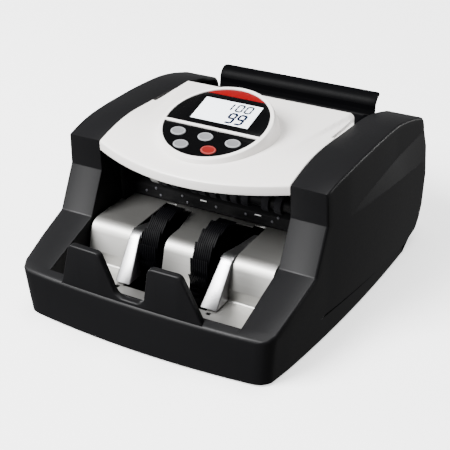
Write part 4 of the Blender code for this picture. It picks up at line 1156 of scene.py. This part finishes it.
def bill_guides():
    """Side guides that slide on the rod to suit the note's length, with a ribbed grip."""
    for name, side in (("left_bill_guide", -1), ("right_bill_guide", 1)):
        outline = [(109, plate_z(109) + 1.2), (117, plate_z(117) + 1.2), (117, 105.4)]
        outline += [(ROD_C[0] + 6 * math.cos(a), ROD_C[1] + 6 * math.sin(a)) for a in even(2.3, 7.1, 14)]
        outline += [(123, 105.4), (123, plate_z(123) + 1.2), (138, plate_z(138) + 1.2)]
        upper = [(138, 122), (138, 130.5), (126, 132), (114, 132), (109, 127), (109, 112)]
        outline += fillet(upper, 4.0, 5)[1:-1]
        low, high = span(side, 84.0, 88.0)
        guide = piece(name + "_blade", soften(prism("X", outline, low, high), 0.7, 2, 50.0), HOPPER, None)
        combine(guide, rod(3.15, low - 1, high + 1, 32, along_x(ROD_C)))
        for y in (118.0, 121.5, 125.0, 128.5):
            combine(guide, soften(box(span(side, 83.0, 84.6), (y, y + 1.6), (123.0, 130.0)), 0.4, 2))
        settle(guide, name, (name,), "black_plastic", 35.0)


def knob():
    """Knurled adjusting knob with a pointer groove, on its screw."""
    profile = [(0, 110), (2.6, 110), (3.0, 110.5), (3.0, 127.1), (8.8, 127.1), (9.4, 127.7), (9.4, 136.8)]
    profile += [(9.0, 137.9), (8.2, 138.7), (7.0, 139.0), (6.6, 138.4), (0, 138.2)]
    shape = turned(profile, 96)
    for vert in shape.verts:
        if math.hypot(vert.co.x, vert.co.y) > 8.5 and 127.3 < vert.co.z < 138.0:
            factor = 1 - 0.045 * (0.5 + 0.5 * math.cos(KNURLS * math.atan2(vert.co.y, vert.co.x)))
            vert.co.x *= factor
            vert.co.y *= factor
    bmesh.ops.translate(shape, vec=(0, 96, 0), verts=shape.verts)
    dial = piece("gap_knob", shape, SATIN, None)
    combine(dial, soften(box((-0.6, 0.6), (97.0, 103.0), (137.6, 140.0)), 0.3, 2))
    settle(dial, "knob", ("adjusting_knob",), "black_plastic", 35.0)


def rear_door():
    """Door over the transport with louvres and a finger recess."""
    outline = fillet([(143.2, 53.5), (146.5, 50.6), (149.2, 53.5)], 2.0, 4)
    outline += [(150.4, 74), (151.4, 116), (149.0, 118.5), (146.6, 116), (145.4, 74)]
    door = piece("door", soften(prism("X", outline, -95.8, 95.8), 0.8, 2, 50.0), HOUSING, None)
    for z in (64, 72, 80, 88):
        combine(door, soften(box((-60, 60), (140, 155), (z, z + 3.5)), 1.5, 3, 60.0))
    combine(door, soften(box((-16, 16), (149.6, 155), (103, 112)), 1.2, 3, 60.0))
    settle(door, "rear_door", ("rear_door",), "black_plastic", 35.0)


def rear_fittings():
    """Power inlet with its three blades, and the rocker switch in its frame."""
    body = soften(box((-75.4, -44.6), (122, 138.9), (20.6, 43.4)), 0.6, 2)
    inlet = piece("inlet", body, SATIN, None)
    combine(inlet, soften(box((-78.5, -41.5), (138.8, 141.0), (18.5, 45.5)), 0.7, 3), "UNION")
    socket = [(-72.2, 23.8), (-47.8, 23.8), (-47.8, 35.8), (-52.2, 40.2), (-67.8, 40.2), (-72.2, 35.8)]
    combine(inlet, prism("Y", fillet(socket, 1.6, 4, True), 126.0, 144.0))
    fixed(inlet, "power_inlet", "black_plastic", 35.0)
    spots = ((-67.0, 30.5), (-60.0, 34.0), (-53.0, 30.5))
    blades = [soften(box((x - 1, x + 1), (124.0, 137.0), (z - 2, z + 2)), 0.5, 2) for x, z in spots]
    piece("inlet_blades", merged(*blades), BRASS, "chassis", (), "zinc_steel")
    rim = soften(box((46.5, 73.5), (138.8, 140.8), (21, 43)), 0.7, 3)
    bezel = piece("switch_bezel", rim, SATIN, None)
    combine(bezel, soften(box((48.6, 71.4), (131, 138.9), (23.1, 40.9)), 0.4, 1), "UNION")
    combine(bezel, box((51, 69), (132.5, 144), (25.5, 38.5)))
    fixed(bezel, "switch_frame", "black_plastic", 35.0)
    outline = [(134.5, 26.2), (140.4, 26.2), (141.0, 32), (143.0, 37.6), (136.0, 37.6), (133.6, 32)]
    rocker = soften(prism("X", fillet(outline, 1.0, 4, True), 51.6, 68.4), 0.5, 2, 50.0)
    piece("rocker_cap", rocker, GLOSS, "rocker", ("power_rocker",), "black_plastic", 35.0)


# -------- inner works


def carried():
    """The CAD's own frame, drive and electrical pieces, with rounded edges and their real materials."""
    looks = {
        FRAME: "left_frame_plate right_frame_plate cross_plate encoder_disc",
        ZINC: "stacker_shaft feed_shaft pickup_shaft guide_rod motor motor_pulley transformer "
        "feed_bearing_left feed_bearing_right stacker_bearing_left stacker_bearing_right",
        RUBBER: "feed_roller left_pickup_roller right_pickup_roller drive_belt pickup_belt stacker_belt",
        NYLON: "feed_gear exit_gear",
        SATIN: "separator_block",
        BOARD: "main_board panel_board",
    }
    for material, names in looks.items():
        for name in names.split():
            node = NODES[name]
            node.data.materials.clear()
            node.data.materials.append(material)
            weld = node.modifiers.new("weld", "WELD")
            weld.merge_threshold = 0.00001
            edge = node.modifiers.new("edge", "BEVEL")
            edge.width = 0.0003
            edge.segments = 2
            edge.limit_method = "ANGLE"
            edge.angle_limit = math.radians(40.0)


def boards():
    """Components on the main board, which the CAD leaves plain."""
    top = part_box("main_board")[1][2] / MM
    parts = []
    chips = [(-70, 0, 7, 7, 3), (-40, 20, 10, 4.5, 2.5), (10, 12, 6, 6, 2)]
    chips += [(45, 24, 4.5, 10, 3), (70, 4, 8, 4, 6)]
    for x, y, across, along, tall in chips:
        chip = box((x - across, x + across), (y - along, y + along), (top, top + tall))
        parts.append(soften(chip, 0.4, 2))
    can = [(0, 0), (3.8, 0), (4.0, 0.3), (4.0, 9.4), (3.6, 10), (0, 10)]
    for x in (-16, -6, 4, 14, 24):
        parts.append(turned(can, 24, at(x, 36, top)))
    piece("board_components", merged(*parts), SATIN, "chassis", (), "black_plastic")


# -------- build

base_tray()
side_cover("left_side_cover", -1)
side_cover("right_side_cover", 1)
top_cover()
panels()
digits()
keys()
stacker_plate()
for rib in RIBS:
    note_rib(rib)
note_stop()
stacker_assembly()
sensor_bar()
exit_assembly()
hopper_plate()
bill_guides()
knob()
rear_door()
rear_fittings()
feet()
carried()
boards()


# -------- floor, light and camera


def floor():
    """Plain pale floor that curves up into a round backdrop far from the machine."""
    flat, bend = 4200, 1500
    profile = [(0, -0.05), (bend, -0.05), (flat, -0.05)]
    profile += [(flat + bend * math.sin(a), bend - bend * math.cos(a)) for a in spaced(0.1, 1.5, 0.1)]
    shape = turned(profile + [(flat + bend, bend + 200), (flat + bend, 7000)], 64)
    low = [f for f in shape.faces if max(v.co.z for v in f.verts) < -1]
    bmesh.ops.delete(shape, geom=low, context="FACES")
    made = Shader("floor_paper", 0.8, specular=0.2)
    made.colours((2.0, 2.0), (0.9, 0.9, 0.9), (0.93, 0.93, 0.93))
    put(made.base, {"Emission Color": (1, 1, 1, 1), "Emission Strength": 1.4})
    paper = piece("floor", shape, made.made, None)
    paper.visible_glossy = False
    paper.visible_diffuse = False


def panel_light(name, place, aim, size, power):
    """A soft rectangular light at `place` that faces `aim`, in metres."""
    light = bpy.data.lights.new(name, "AREA")
    light.shape = "RECTANGLE"
    light.size, light.size_y = size
    light.energy = power
    obj = linked(name, light)
    obj.location = place
    obj.rotation_euler = (Vector(aim) - Vector(place)).to_track_quat("-Z", "Y").to_euler()


def lighting():
    """A strong key from the upper left, weak lights in front, left, above and behind, and a pale surround."""
    panel_light("sky", (-1.7, -2.3, 3.1), (0, 0, 0), (2.0, 2.0), 590.0)
    panel_light("front", (-1.9, -3.6, 1.2), (0, 0, 0.1), (2.4, 1.6), 120.0)
    panel_light("left", (-3.2, 0.2, 1.2), (0, 0, 0.1), (1.4, 1.0), 40.0)
    panel_light("top", (0.2, 0.4, 3.3), (0, 0, 0.1), (1.6, 1.6), 100.0)
    panel_light("back_right", (2.6, 3.2, 0.35), (0, 0, 0.1), (2.2, 0.6), 65.0)
    world = bpy.data.worlds.new("surround")
    world.use_nodes = True
    put(world.node_tree.nodes["Background"], {"Color": (1, 1, 1, 1), "Strength": 0.24})
    bpy.context.scene.world = world


CAMERA_PLACE = (0.46708, -0.79418, 0.56621)
CAMERA_LENS = 86.34
CAMERA_YAW = math.radians(30.5167)
CAMERA_PITCH = math.radians(29.311)
CAMERA_ROLL = -0.02356


def camera():
    """The photograph's viewpoint."""
    data = bpy.data.cameras.new("camera")
    data.sensor_width = 36.0
    data.lens = CAMERA_LENS
    data.clip_end = 50.0
    obj = linked("camera", data)
    level = math.cos(CAMERA_PITCH)
    back = Vector((math.sin(CAMERA_YAW) * level, -math.cos(CAMERA_YAW) * level, math.sin(CAMERA_PITCH)))
    right = Vector((0, 0, 1)).cross(back).normalized()
    up = back.cross(right)
    turn = Matrix.Rotation(CAMERA_ROLL, 3, back)
    right, up = turn @ right, turn @ up
    columns = Matrix((right, up, back)).transposed().to_4x4()
    obj.matrix_world = Matrix.Translation(CAMERA_PLACE) @ columns
    bpy.context.scene.camera = obj


floor()
lighting()
camera()
